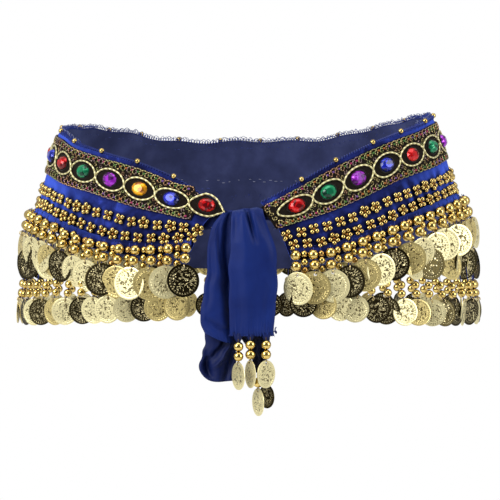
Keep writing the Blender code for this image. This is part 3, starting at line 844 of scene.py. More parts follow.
# A darker copy of the same chiffon for the loop's back, the tail's point and the hem's gathers: painted
# shade, for the parts that lie in shadow.
CHIFFON_PAINTED_SHADE = chiffon_look("chiffon_painted_shade", (0.002, 0.006, 0.046), (0.005, 0.012, 0.080))
BLUE_THREAD = thread_look("blue_thread", (0.02, 0.04, 0.26))
NAVY_THREAD = thread_look("navy_thread", (0.008, 0.014, 0.11))
PAINTED_GLINT_THREAD = thread_look("painted_glint_thread", (0.07, 0.11, 0.42))
PALE_THREAD = thread_look("pale_thread", (0.22, 0.25, 0.42))
STITCH = thread_look("stitch_thread", (0.32, 0.35, 0.50))
BROWN_THREAD = thread_look("brown_thread", (0.10, 0.06, 0.03))
KNOT_THREADS = [
    thread_look(f"knot_{tint}", colour)
    for tint, colour in (
        ("pink", (0.42, 0.04, 0.14)),
        ("green", (0.08, 0.22, 0.05)),
        ("violet", (0.20, 0.09, 0.32)),
        ("orange", (0.45, 0.14, 0.03)),
    )
]


# The velvet band.


def band_level(course, depth):
    """The height at a share of the band's depth, through the lines of the part's rows."""
    lines = (top_edge, braid_top, braid_bottom, below_braid, hem)
    knots = (0.0, 0.12, 0.6, 0.8, 1.0)
    heights = [line(course) for line in lines]
    heights[1] = np.minimum(heights[1], heights[0] - EDGE_ABOVE_BRAID)
    level = heights[0]
    for number in range(4):
        share = (depth - knots[number]) / (knots[number + 1] - knots[number])
        level = level + (heights[number + 1] - heights[number]) * np.clip(share, 0, 1)
    return level


def daisy_height(course, row):
    """The height of a row of small beads, between the braid and the large beads."""
    near_end = np.clip(1 - np.minimum(course - 10, 350 - course) / 40, 0, 1)
    share = ((0.41, 0.37), (0.78, 0.84))[row]
    return mix(braid_bottom(course), bead_line(course) + 4 * MM, mix(share[0], share[1], near_end))


def velvet_outer_shape(course, height):
    """How the sewing and the wear raise and pull in the velvet's face."""
    run = course * COURSE_LENGTH
    below = np.clip((braid_bottom(course) - height) / (8 * MM), 0, 1)
    shape = 0.40 * MM * wander(run + 0.4 * height, 3, 11 * MM, 26 * MM) * below
    shape += 0.35 * MM * wander(run - 1.2 * height, 5, 34 * MM, 70 * MM) * below
    for row in (0, 1):
        off = (height - daisy_height(course, row)) / (3.2 * MM)
        shape -= 0.55 * MM * np.exp(-(off**2)) * (1 + 0.3 * wander(run, 8 + row, 7 * MM, 15 * MM))
    return shape


def velvet_band():
    columns, rows = 600, 52
    spread = np.linspace(RIGHT_END["top"], LEFT_END["top"], columns)[None]
    depth = np.linspace(0, 1, rows)[:, None]
    course = slanted(spread, depth)
    height = band_level(course, depth)
    puff = velvet_outer_shape(course, height)
    rolled = np.minimum(1, np.sqrt(np.clip(depth / 0.03, 0, 1)))
    outer = on_hips(course, height, 1.0 * MM + (VELVET_THICKNESS - 1.0 * MM) * rolled + puff)
    inner = on_hips(course, height, 0.9 * MM * (1 - rolled) + 0.5 * np.minimum(puff, 0))
    uv = np.stack(np.broadcast_arrays(course * COURSE_LENGTH, height), -1)
    made = shell("velvet_cloth", outer, inner, uv, VELVET, VELVET_BACK, inner_slot=1)
    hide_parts("velvet_band")
    return made


def edge_stitching():
    """The overlocked top edge: threads wound round it, blue with paler lace ones at the back, and short
    lighter blue stretches over them that are painted glints.
    """
    steps = 7
    pile = Pile()
    course = np.linspace(RIGHT_END["top"] + 0.2, LEFT_END["top"] - 0.2, EDGE_TURNS * steps)
    height = top_edge(course)
    phase = 2 * np.pi * np.arange(len(course)) / steps
    behind = np.clip(np.minimum(course - LACE["first"], LACE["last"] - course) / 12 + 1, 0, 1)
    loose = 1 + 0.28 * wander(course, 21, 0.9, 2.6) * behind
    out = 1.0 * MM + 1.75 * MM * np.cos(phase) * (0.85 + 0.15 * loose)
    level = height + 0.1 * MM + mix(0.7, 1.5, behind) * MM * np.sin(phase) * loose
    points = on_hips(course, level, out)
    pile.cord(points, outward(course, height), 0.34 * MM, 4)
    rng = np.random.default_rng(17)
    first, last = (round((LACE[end] - RIGHT_END["top"]) / 350 * EDGE_TURNS) for end in ("first", "last"))
    # Short lighter blue stretches laid over the wound thread: painted glints.
    for start in rng.integers(first, last, 50):
        part = slice(start * steps, (start + rng.integers(1, 4)) * steps)
        points = on_hips(course[part], level[part] + 0.35 * MM, out[part] * 1.12)
        normals = outward(course[part], height[part])
        pile.cord(points, normals, 0.26 * MM, 4, slot=2)
    course = np.linspace(LACE["first"], LACE["last"], 1000)
    for number, slot in enumerate((1, 0)):
        uneven = 0.8 * wander(course, 23 + number, 5, 11)
        scallop = np.abs(np.sin(np.pi * (course + 0.7 * number) / LACE["pitch"] + uneven))
        level = top_edge(course) + (0.6 + 2.3 * scallop + 0.6 * wander(course, 27 + number, 1.5, 7)) * MM
        points = on_hips(course, level, (1.0 + 0.5 * np.cos(3 * course + number)) * MM)
        pile.cord(points, outward(course, level), 0.24 * MM, 3, slot=slot)
    made = pile.build("edge_stitching", BLUE_THREAD, PALE_THREAD, PAINTED_GLINT_THREAD)


def edge_beads():
    """Small beads that stand along the top edge."""
    course = courses_every(top_edge, 13.5, 339.0, EDGE_BEAD_PITCH)
    rng = np.random.default_rng(4)
    course = course + rng.uniform(-0.8, 0.8, len(course))
    height = top_edge(course)
    centres = on_hips(course, height + 1.3 * MM, 2.8 * MM)
    pile = Pile()
    axes = band_axes(course, top_edge)
    pile.copies(scaled(ball(16, 10), EDGE_BEAD), centres, axes)
    made = pile.build("edge_beads", SMALL_GOLD)


def band_axes(course, line):
    """Axes along, up and out at places on a line of the band."""
    step = 0.4
    height = line(course)
    ahead = on_hips(course + step, line(course + step), 0)
    behind = on_hips(course - step, line(course - step), 0)
    above = on_hips(course, height + 1 * MM, 0)
    below = on_hips(course, height - 1 * MM, 0)
    return frames(ahead, behind, above, below)


def level_axes(course, height):
    """Axes that stay level and upright, for what hangs."""
    out = outward(course, height)
    along = np.stack([-out[:, 1], out[:, 0], np.zeros(len(out))], -1)
    up = np.broadcast_to([0.0, 0.0, 1.0], out.shape)
    return np.stack([along, up, out], 1)


def inner_stitches():
    """The stitches that hold the braid and the beads, seen on the back of the velvet."""
    pile = Pile()
    rng = np.random.default_rng(11)
    for line, drop, slot in ((braid_top, 1.5, 1), (braid_bottom, 0.0, 0)):
        for course in courses_every(line, 6, 350, 4.4 * MM):
            if rng.random() < 0.35:
                continue
            where = course + rng.uniform(-0.3, 0.3)
            course = np.linspace(where, where + rng.uniform(0.3, 0.9), 5)
            height = line(course) - drop * MM + rng.normal(0, 0.7) * MM
            lift = -0.15 * MM - 0.25 * MM * np.sin(np.linspace(0, np.pi, 5))
            points = on_hips(course, height, lift)
            pile.cord(points, outward(course, height), 0.2 * MM, 4, slot=slot)
    for row in (0, 1):
        for course in courses_every(lambda c: daisy_height(c, row), 11, 346, 11.6 * MM):
            for _ in range(3):
                where = course + rng.uniform(-0.7, 0.7)
                course_pair = np.linspace(where, where + rng.uniform(-0.4, 0.4), 4)
                height = daisy_height(course_pair, row) + rng.uniform(-2.2, 2.2) * MM
                height = height + np.linspace(0, rng.uniform(-1.5, 1.5) * MM, 4)
                points = on_hips(course_pair, height, -0.3 * MM)
                pile.cord(points, outward(course_pair, height), 0.2 * MM, 4, slot=1)
    made = pile.build("inner_stitches", STITCH, BLUE_THREAD)


# The gem braid.


GEM_COUNT = round(lengths_along(braid_top, np.linspace(FIRST_GEM, LAST_GEM, 701))[-1] / GEM_PITCH) + 1
GEMS = courses_at_pitch(braid_line, FIRST_GEM, LAST_GEM, GEM_COUNT)
GEMS[-1] += LAST_GEM_SHIFT
GEM_EDGES = np.concatenate([[FIRST_FRAME], (GEMS[1:] + GEMS[:-1]) / 2, [LAST_FRAME]])
BRAID_FINE = np.linspace(BRAID_START, BRAID_FINISH, 1401)
BRAID_LENGTHS = lengths_along(braid_line, BRAID_FINE)
BRAID_LENGTH = BRAID_LENGTHS[-1]


def braid_point(course, across, out):
    """A point of the braid, at a distance down from its middle line and out from the velvet."""
    share = across / BRAID_WIDTH + 0.5
    at = slanted(course, mix(0.12, 0.6, share))
    level = mix(braid_top(at), braid_bottom(at), share)
    return on_hips(at, level, VELVET_THICKNESS + SEAM + out), outward(at, level)


def near_gem(number, along, across, out):
    """A point of the braid from the middle of one of its stones."""
    low, high = GEM_EDGES[number], GEM_EDGES[number + 1]
    gap = np.where(along < 0, GEMS[number] - low, high - GEMS[number])
    if number == GEM_COUNT - 1:
        along = along + LAST_FRAME_LEAN * across
    return braid_point(GEMS[number] + 2 * along / GEM_PITCH * gap, across, out)


def braid_run(length):
    """Courses at lengths along the braid's middle line."""
    return np.interp(length, BRAID_LENGTHS, BRAID_FINE)


def gem_braid():
    columns, rows = 500, 21
    across = np.linspace(-BRAID_WIDTH / 2, BRAID_WIDTH / 2, rows)[:, None]
    off = np.minimum(1, np.abs(across) / FRAME_HALF_HEIGHT)
    tongue = (GEMS[-1] - BRAID_FINISH) * (1 - off**8) + (LAST_FRAME - GEMS[-1]) * np.sqrt(1 - off)
    finish = BRAID_FINISH + tongue + END_CUT * np.minimum(0, across / (BRAID_WIDTH / 2))
    finish = finish + np.where(tongue > 0, LAST_FRAME_LEAN * across / COURSE_LENGTH, 0)
    course = BRAID_START + (finish - BRAID_START) * np.linspace(0, 1, columns)[None]
    edge = 1 - np.abs(across / (BRAID_WIDTH / 2)) ** 6
    puff = 0.25 * MM * wander(course * 2.7, 31, 12, 40) + 0 * across
    outer, _ = braid_point(course, across, 0.45 * MM + 0.55 * MM * edge + puff * edge)
    inner, _ = braid_point(course, across, 0.02 * MM + 0 * puff)
    uv = np.stack(np.broadcast_arrays(course * COURSE_LENGTH, across), -1)
    made = shell("braid_ribbon", outer, inner, uv, BRAID)
    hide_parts("gem_braid")
    return made


def stone_template():
    """A faceted oval, 1 long and 1 high by its half sizes, with flat faces."""
    levels = ((1.0, 0.0, 0), (0.98, 0.22, 0), (0.80, 0.62, 1), (0.52, 0.92, 0), (0.0, 1.0, 0))
    sides = 12
    points, faces = [], []
    for reach, rise, shifted in levels[:-1]:
        angle = 2 * np.pi * (np.arange(sides) + 0.5 * shifted) / sides
        points.append(np.stack([reach * np.cos(angle), reach * np.sin(angle), np.full(sides, rise)], -1))
    points = np.concatenate(points)
    for ring_ in range(len(levels) - 2):
        low, high = ring_ * sides, (ring_ + 1) * sides
        same = levels[ring_][2] == levels[ring_ + 1][2]
        for i in range(sides):
            after = (i + 1) % sides
            if same:
                faces.append([low + i, low + after, high + after, high + i])
            elif levels[ring_ + 1][2]:
                faces += [[low + i, low + after, high + i], [low + after, high + after, high + i]]
            else:
                faces += [[low + i, high + after, high + i], [low + i, low + after, high + after]]
    table = [(len(levels) - 2) * sides + i for i in range(sides)]
    groups = {}
    for face in faces + [table, list(range(sides))[::-1]]:
        groups.setdefault(len(face), []).append(face)
    return points, list(groups.values()), np.zeros((len(points), 2))


def stone_colours():
    """The colour of each stone, as in the photograph at the front and repeating behind."""
    order = [""] * GEM_COUNT
    for number in range(GEM_COUNT):
        if number < GEM_COUNT // 2:
            order[number] = STONE_ORDER_RIGHT[number % len(STONE_ORDER_RIGHT)]
        else:
            order[number] = STONE_ORDER_LEFT[(GEM_COUNT - 1 - number) % len(STONE_ORDER_LEFT)]
    return order


def stones():
    pile = Pile()
    axes, centres = [], []
    for number in range(GEM_COUNT):
        ahead, _ = near_gem(number, np.array(3 * MM), np.array(0.0), 0)
        behind, _ = near_gem(number, np.array(-3 * MM), np.array(0.0), 0)
        above, _ = near_gem(number, np.array(0.0), np.array(-3 * MM), 0)
        below, _ = near_gem(number, np.array(0.0), np.array(3 * MM), 0)
        centre, _ = near_gem(number, np.array(0.0), np.array(0.0), 0.8 * MM)
        axes.append(frames(*(p[None] for p in (ahead, behind, above, below)))[0])
        centres.append(centre)
    axes, centres = np.array(axes), np.array(centres)
    slots = np.array([list(STONE_LOOKS).index(colour) for colour in stone_colours()])
    rng = np.random.default_rng(6)
    yaw, tilt, roll = (rng.uniform(-most, most, GEM_COUNT) for most in (3, 3, 4))
    axes = turned(axes, yaw, tilt, roll)
    pile.copies(scaled(stone_template(), STONE_SIZE), centres, axes, slots)
    made = pile.build("stones", *STONE_LOOKS.values())
    made.data.shade_flat()


def stone_frames():
    """Two cords that cross between the stones and so leave an oval round each."""
    pile = Pile()
    turn = np.linspace(0, np.pi, 25)
    for cord in (1, -1):
        points, normals = [], []
        for number in range(GEM_COUNT):
            side = cord * (-1) ** number
            along = -FRAME_HALF_LENGTH * np.cos(turn)
            pointed = np.where((number == GEM_COUNT - 1) & (along > 0), LAST_FRAME_POINT, FRAME_POINT)
            across = side * FRAME_HALF_HEIGHT * np.sin(turn) ** pointed
            lift = 1.55 * MM + 0.5 * MM * side * np.cos(turn)
            stretch, out = near_gem(number, along, across, lift)
            points.append(stretch if number == GEM_COUNT - 1 else stretch[:-1])
            normals.append(out if number == GEM_COUNT - 1 else out[:-1])
        pile.cord(np.concatenate(points), np.concatenate(normals), FRAME_CORD, 8)
    turn = 2 * np.pi * np.arange(28) / 28
    for number in range(GEM_COUNT):
        along, across = 6.9 * MM * np.cos(turn), 5.5 * MM * np.sin(turn)
        points, normals = near_gem(number, along, across, 1.05 * MM)
        pile.cord(points, normals, 0.5 * MM, 5, closed=True, slot=1)
    made = pile.build("stone_frames", CORD, DARK_THREAD)


def chain_loops(pile, side, rng):
    """A chain of overlapping loops of tinted cord along one edge of the braid."""
    turns = int(BRAID_LENGTH / CHAIN_PITCH) - (2 if side < 0 else 1)
    steps = 13
    tints = rng.permutation(np.arange(turns) % 4)
    for number in range(turns):
        phase = 2 * np.pi * np.arange(steps + 1) / steps
        wide, high = rng.uniform(2.6, 3.2) * MM, rng.uniform(2.2, 2.5) * MM
        run = CHAIN_START + CHAIN_PITCH * (number + phase / (2 * np.pi)) - wide * np.sin(phase)
        across = side * (CHAIN_FROM_MIDDLE - high * np.cos(phase))
        lift = 1.2 * MM + 0.45 * MM * np.sin(phase)
        points, normals = braid_point(braid_run(run), across, lift)
        pile.cord(points, normals, CHAIN_CORD, 5, slot=tints[number])
    return CHAIN_START + CHAIN_PITCH * (np.arange(turns) + 0.5), tints


def braid_loops():
    """The chains of loops along both edges of the braid, and the curls between its stones."""
    pile = Pile()
    rng = np.random.default_rng(9)
    knot = scaled(ball(7, 5), (1.2 * MM, 0.9 * MM, 0.7 * MM))
    for side in (-1, 1):
        run, tints = chain_loops(pile, side, rng)
        centres, _ = braid_point(braid_run(run), side * CHAIN_FROM_MIDDLE + 0 * run, 1.0 * MM)
        axes = level_axes(braid_run(run), centres[:, 2])
        pile.copies(knot, centres, axes, len(CHAIN_CORDS) + (tints + 1) % 4)
    for number in range(1, GEM_COUNT):
        course = GEM_EDGES[number]
        for side in (-1, 1):
            for shift, level, size in ((-3.2, 7.6, 1.7), (3.2, 7.6, 1.7), (0.0, 5.4, 1.5)):
                angle = np.linspace(0, 1.7 * np.pi, 11) + rng.uniform(0, 6)
                reach = size * MM * np.linspace(0.4, 1.0, 11)
                where = course + (shift * MM + reach * np.cos(angle)) / COURSE_LENGTH
                points, normals = braid_point(where, side * (level * MM + reach * np.sin(angle)), 1.1 * MM)
                pile.cord(points, normals, 0.36 * MM, 5, slot=rng.integers(0, 4))
    for course, level, size in END_CURLS:
        angle = np.linspace(0, 2.2 * np.pi, 20) + level
        reach = size * MM * np.linspace(0.35, 1.0, 20)
        where = course + reach * np.cos(angle) / COURSE_LENGTH
        points, normals = braid_point(where, level * MM + reach * np.sin(angle), 1.2 * MM)
        pile.cord(points, normals, 0.45 * MM, 5)
    made = pile.build("braid_loops", *CHAIN_CORDS, *KNOT_THREADS)


# Beads, coins and strands.


def daisies():
    """Rings of small beads round a middle one, in two rows. The middle bead's deep copper is partly painted
    shade, darker than the gold round it.
    """
    pile = Pile()
    rng = np.random.default_rng(12)
    bead = scaled(ball(12, 8), DAISY_BEAD)
    middle = scaled(ball(8, 6), DAISY_MIDDLE)
    for row in (0, 1):
        first, last = ((9.6, 347.0), (11.2, 345.4))[row]
        course = courses_every(lambda c: daisy_height(c, row), first, last, DAISY_PITCH)
        course = course + rng.uniform(-0.15, 0.15, len(course))
        height = daisy_height(course, row) + rng.uniform(-0.5, 0.5, len(course)) * MM
        out = VELVET_THICKNESS + 1.7 * MM
        axes = band_axes(course, lambda c: daisy_height(c, row))
        centres = on_hips(course, height, out)
        # The middle bead in deep copper: partly painted shade.
        pile.copies(middle, centres - 0.7 * MM * axes[:, 2], axes, 1)
        start = rng.normal(0.0, 0.14, len(course))
        petals = rng.choice((4, 5), len(course), p=(0.7, 0.3))
        for petal in range(5):
            angle = start + 2 * np.pi * (petal + 0.5) / petals
            reach = np.where(petals == 4, 2.9, 3.2) * MM + rng.uniform(-0.2, 0.2, len(course)) * MM
            towards = np.cos(angle)[:, None] * axes[:, 0] + np.sin(angle)[:, None] * axes[:, 1]
            beside = np.cross(axes[:, 2], towards)
            sunk = 0.7 * MM * np.cos(angle)[:, None] ** 2
            placed = centres + reach[:, None] * towards - sunk * axes[:, 2]
            spun = np.stack([towards, axes[:, 2], -beside], 1)
            there = petal < petals
            pile.copies(bead, placed[there], spun[there])
    made = pile.build("bead_daisies", SMALL_GOLD, DEEP_COPPER_PAINTED_SHADE)


COURSES = courses_at_pitch(bead_line, FIRST_STRAND, LAST_STRAND, 2 * STRANDS + 2)
MIDDLES = (COURSES[1:] + COURSES[:-1]) / 2
UPPER = MIDDLES[0::2]
LOWER = MIDDLES[1::2]


def coin_template(diameter):
    """A stamped disc with a raised rim, a hole near its top, and flat uv round its middle."""
    segments = 34
    reaches = np.array([0.0, 0.3, 0.6, 0.74, 0.86, 0.90, 0.95, 1.0])
    rises = np.array([0.36, 0.37, 0.36, 0.35, 0.35, 0.39, 0.40, 0.30]) * MM
    half = diameter / 2
    shape = bmesh.new()
    rings = {}
    angle = 2 * np.pi * np.arange(segments) / segments
    for face in (1, -1):
        rings[face] = [[shape.verts.new((0, 0, face * rises[0]))]]
        for reach, rise in zip(reaches[1:], rises[1:]):
            wide = half * reach
            line = [shape.verts.new((wide * math.cos(a), wide * math.sin(a), face * rise)) for a in angle]
            rings[face].append(line)
        for number in range(1, len(reaches) - 1):
            one, other = rings[face][number], rings[face][number + 1]
            for i in range(segments):
                after = (i + 1) % segments
                quad = (one[i], one[after], other[after], other[i])
                shape.faces.new(quad if face < 0 else quad[::-1])
        for i in range(segments):
            fan = (rings[face][0][0], rings[face][1][i], rings[face][1][(i + 1) % segments])
            shape.faces.new(fan if face > 0 else fan[::-1])
    for i in range(segments):
        after = (i + 1) % segments
        shape.faces.new((rings[1][-1][after], rings[1][-1][i], rings[-1][-1][i], rings[-1][-1][after]))
    bmesh.ops.recalc_face_normals(shape, faces=shape.faces)
    mesh = bpy.data.meshes.new("coin")
    shape.to_mesh(mesh)
    shape.free()
    coin = bpy.data.objects.new("coin", mesh)
    drill_shape = bmesh.new()
    bmesh.ops.create_cone(
        drill_shape, cap_ends=True, segments=12, radius1=1.15 * MM, radius2=1.15 * MM, depth=4 * MM
    )
    bmesh.ops.translate(drill_shape, verts=drill_shape.verts, vec=(0, half * COIN_HOLE_REACH, 0))
    drill_mesh = bpy.data.meshes.new("drill")
    drill_shape.to_mesh(drill_mesh)
    drill_shape.free()
    drill = bpy.data.objects.new("drill", drill_mesh)
    for thing in (coin, drill):
        bpy.context.scene.collection.objects.link(thing)
    cut = coin.modifiers.new("hole", "BOOLEAN")
    cut.object = drill
    cut.solver = "EXACT"
    done = coin.evaluated_get(bpy.context.evaluated_depsgraph_get()).to_mesh()
    points = np.array([v.co[:] for v in done.vertices])
    groups = {}
    for polygon in done.polygons:
        groups.setdefault(len(polygon.vertices), []).append(list(polygon.vertices))
    for thing in (coin, drill):
        bpy.data.objects.remove(thing)
    return points, list(groups.values()), points[:, :2] / half


UPPER_COIN_SHAPE = coin_template(COIN)
LOWER_COIN_SHAPE = coin_template(LOWER_COIN)
SMALL_COIN_SHAPE = coin_template(SMALL_COIN)


def strand_plan(course, upper):
    """Beads and coins of a strand, as in the part: kind, height, out and size."""
    if upper:
        level = float(bead_line(course))
        top = level - 1.5 * BEAD - 0.8 * MM
        beads = [(level, UPPER_BEAD_OUT, BEAD), (level - BEAD - 0.3 * MM, UPPER_BEAD_OUT + 0.4 * MM, BEAD)]
        return beads, [(top - COIN / 2, UPPER_COIN_OUT, COIN)]
    bottom = float(section(course, "coins"))
    beads_top = bottom + LOWER_COIN + 0.6 * MM + 2 * LOWER_BEAD
    over = float(bead_line(course)) - 1.5 * BEAD - COIN
    coins = [(bottom + LOWER_COIN / 2, LOWER_COIN_OUT, LOWER_COIN)]
    if over - beads_top > ROOM_FOR_MIDDLE_COIN:
        coins.append((beads_top + 0.6 * MM + COIN / 2, LOWER_COIN_OUT, COIN))
    beads = [
        (beads_top - LOWER_BEAD / 2, LOWER_COIN_OUT - 1.4 * MM, LOWER_BEAD),
        (beads_top - 1.5 * LOWER_BEAD, LOWER_COIN_OUT - 1.2 * MM, LOWER_BEAD),
    ]
    return beads, coins


class Fringe:
    """Gathers the beads, coins, rings and threads of all strands, then builds one piece for each."""

    def __init__(self):
        self.rng = np.random.default_rng(40)
        self.beads, self.rings, self.threads = Pile(), Pile(), Pile()
        self.coins = {"coins_upper": Pile(), "coins_lower": Pile(), "coins_middle": Pile()}
        self.discs = {name: [] for name in self.coins}
        self.ball = ball(14, 9)
        self.link = scaled(ring_bead(12, 5, 0.62), 1.7 * MM)

    def bead(self, centre, axes, size, slot=0):
        axes = turned(axes[None], tilt=self.rng.uniform(-8, 8), roll=self.rng.uniform(-8, 8))
        self.beads.copies(scaled(self.ball, size / 2), centre[None], axes, slot)

    def coin(self, pile, shape, centre, axes, size, turn, dark, loose=1.0):
        """A coin that hangs by its hole, with the ring through it."""
        hole = centre + COIN_HOLE_REACH * size / 2 * axes[1]
        yaw, tilt, roll = self.rng.normal(0, 1, 3) * (13.0, 6.0, 8.0) * loose
        spun = turned(axes[None], turn + yaw, tilt, roll)
        placed = hole - COIN_HOLE_REACH * size / 2 * spun[0, 1]
        points, faces, uv = shape
        shift = self.rng.uniform(0, 40, 2)
        slot = self.rng.choice(3, p=(0.65 - 0.65 * dark, 0.35 - 0.35 * dark, dark))
        self.coins[pile].add(placed + np.einsum("nk,kd->nd", points, spun[0]), faces, slot, uv + shift)
        self.discs[pile].append(uv)
        link = np.stack([spun[0, 1], spun[0, 2], spun[0, 0]])
        self.rings.copies(self.link, (hole + 0.9 * MM * axes[1])[None], link[None])

    def thread(self, points, out, slot=0):
        self.threads.cord(points, out, STRAND_THREAD, 5, slot=slot)

    def build(self):
        made = self.beads.build("large_beads", GOLD, COPPER)
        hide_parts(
            "coin_fringe_right", "coin_fringe_back", "coin_fringe_left", "tail_tassel", "point_tassel"
        )
        for name, pile in self.coins.items():
            made = pile.build(name, COIN_PALE, COIN_WARM, COIN_TARNISH_AND_PAINTED_REFLECTION)
            add_disc_map(made, np.concatenate(self.discs[name]))
            made.data.set_sharp_from_angle(angle=math.radians(40))
        self.rings.build("coin_rings", RING_METAL)
        self.threads.build("strand_threads", BLUE_THREAD, BROWN_THREAD)


def add_disc_map(made, disc):
    """A second map that has each coin's own middle at zero."""
    mesh = made.data
    corners = np.empty(len(mesh.loops), np.int32)
    mesh.loops.foreach_get("vertex_index", corners)
    layer = mesh.uv_layers.new(name="disc")
    layer.data.foreach_set("uv", disc[corners].ravel().astype(np.float32))
    mesh.uv_layers["UVMap"].active_render = True


def hang_strand(fringe, course, upper):
    beads, coins = strand_plan(course, upper)
    at_end = not END_STRANDS[0] <= course <= END_STRANDS[1]
    turn = (END_COIN_TURN if at_end else COIN_TURN) * (1 if course < 180 else -1)
    dark = DARK_COINS["end" if at_end else "upper" if upper else "lower"]
    course = np.array([course])
    root = float(bead_line(course[0])) + 5 * MM
    heights = [root] + [bead[0] for bead in beads]
    outs = [UPPER_BEAD_OUT - 1 * MM if upper else 4.4 * MM] + [bead[1] for bead in beads]
    for height, out, size in beads:
        shake = fringe.rng.normal(0, 0.35, 2) * MM
        set_in = 0.8 * MM if upper else 0
        centre = on_hips(course + shake[0] / COURSE_LENGTH, height + shake[1], out - set_in)[0]
        fringe.bead(centre, level_axes(course, height)[0], size)
    for height, out, size in coins:
        axes = level_axes(course, height)[0]
        centre = on_hips(course, height, out)[0]
        pile = "coins_upper" if upper else "coins_lower" if size == LOWER_COIN else "coins_middle"
        shape = LOWER_COIN_SHAPE if size == LOWER_COIN else UPPER_COIN_SHAPE
        fringe.coin(pile, shape, centre, axes, size, turn, dark=dark)
    lowest = coins[0][0] + COIN_HOLE_REACH * coins[0][2] / 2 + 1.2 * MM
    heights, outs = heights + [lowest], outs + [coins[0][1]]
    fine = np.linspace(heights[0], heights[-1], 9)
    out = np.interp(-fine, -np.array(heights), outs)
    points = on_hips(course, fine, out)
    fringe.thread(points, level_axes(course, root)[0, 0])


def filler_beads(fringe):
    """Smaller darker beads in the gaps behind the large ones."""
    for number, course in enumerate(LOWER):
        at = np.array([course])
        level = float(bead_line(course))
        axes = level_axes(at, level)[0]
        rows = ((0.0, 5.4, number % 3 == 1), (-5.6, 6.0, 0), (-11.6, 5.6, number % 3 == 0))
        for drop, size, slot in rows:
            centre = on_hips(at, level + (drop + fringe.rng.normal(0, 0.5)) * MM, 5.6 * MM)[0]
            fringe.bead(centre, axes, size * MM, slot=int(slot))


def fringe_tape():
    """The narrow tape that the strands are sewn to."""
    course = np.linspace(FIRST_STRAND, LAST_STRAND, 420)[None]
    share = np.linspace(0, 1, 5)[:, None]
    height = bead_line(course) + 6.2 * MM - 10.4 * MM * share
    outer = on_hips(course, height, 3.9 * MM + 0.5 * MM * np.sin(np.pi * share))
    inner = on_hips(course, height, 2.7 * MM + 0 * share)
    uv = np.stack(np.broadcast_arrays(course * COURSE_LENGTH, height), -1)
    made = shell("fringe_tape", outer, inner, uv, VELVET)
    return made


def coin_fringe():
    fringe = Fringe()
    for course in UPPER:
        hang_strand(fringe, course, True)
    for course in LOWER:
        hang_strand(fringe, course, False)
    filler_beads(fringe)
    for row in TAIL_TASSEL + POINT_TASSEL:
        hang_tassel(fringe, row)
    fringe.build()


def named(columns, row):
    return {column: value * MM for column, value in zip(columns, row)}


def hang_tassel(fringe, row):
    at = named(TASSEL_COLUMNS, row)
    beads, turn = row[-2:]
    axes = np.array([[1.0, 0, 0], [0, 0, 1.0], [0, -1.0, 0]])
    x, y = at["across"], -at["front"]
    for number in range(beads):
        height = at["top"] - (number + 0.5) * TASSEL_PITCH
        fringe.bead(np.array([x, y, height]), axes, TASSEL_BEAD)
    top = at["top"] - beads * TASSEL_PITCH - 0.6 * MM
    centre = np.array([x, y, top - at["coin"] / 2])
    shape = LOWER_COIN_SHAPE if at["coin"] > 20 * MM else SMALL_COIN_SHAPE
    # The last coin under the tail's point is drawn in the dark coin material: painted shade, as it hangs in
    # shadow.
    dark = 1.0 if row is POINT_TASSEL[-1] else 0.0
    fringe.coin("coins_middle", shape, centre, axes, at["coin"], turn, loose=0.0, dark=dark)
    root = at["top"] + (2 if row in TAIL_TASSEL else 5) * MM
    points = np.stack([np.full(7, x), np.full(7, y), np.linspace(root, top - 1 * MM, 7)], -1)
    fringe.thread(points, TO_VIEWER, slot=1)


# The ties.


def smooth_rows(columns, rows, count):
    """A table's columns as smooth curves, with rows spaced evenly by length."""
    table = np.array([row[: len(columns)] for row in rows], float) * MM
    padded = np.concatenate([[2 * table[0] - table[1]], table, [2 * table[-1] - table[-2]]])
    fine = np.linspace(0, len(rows) - 1 - 1e-9, 400)
    at, share = fine.astype(int), (fine % 1)[:, None]
    p0, p1, p2, p3 = (padded[at + k] for k in range(4))
    curve = 0.5 * (
        2 * p1
        + (p2 - p0) * share
        + (2 * p0 - 5 * p1 + 4 * p2 - p3) * share**2
        + (3 * p1 - p0 - 3 * p2 + p3) * share**3
    )
    step = np.hypot(np.diff(curve[:, 0]), np.diff(curve[:, 1] if columns is TIE_COLUMNS else curve[:, 2]))
    run = np.concatenate([[0.0], np.cumsum(step)])
    wanted = np.linspace(0, run[-1], count)
    return {
        column: np.interp(wanted, run, curve[:, place])[:, None] for place, column in enumerate(columns)
    }, wanted[:, None]


def fold_shape(share, folds):
    wave = np.cos(2 * np.pi * folds * share)
    return 0.75 * wave + 0.25 * np.cos(4 * np.pi * folds * share)


def crease(share, part, size, row):
    """A soft trough from one place of the cloth to another. A depth below zero makes a ridge.

    The row holds the start and the end, each a share across and down, then the width, the depth
    and how far the crease bows to one side, in mm. It fades at both ends.
    """
    first_share, first_part, last_share, last_part, width, depth, bow = row
    step = ((last_share - first_share) * size[0], (last_part - first_part) * size[1])
    length = math.hypot(*step)
    across, down = (share - first_share) * size[0], (part - first_part) * size[1]
    along = (across * step[0] + down * step[1]) / length**2
    off = (across * step[1] - down * step[0]) / length - bow * MM * 4 * along * (1 - along)
    fade = np.sin(np.pi * np.clip(along, 0, 1)) ** 0.7
    return -depth * MM * fade * np.exp(-((off / (width * MM)) ** 2))


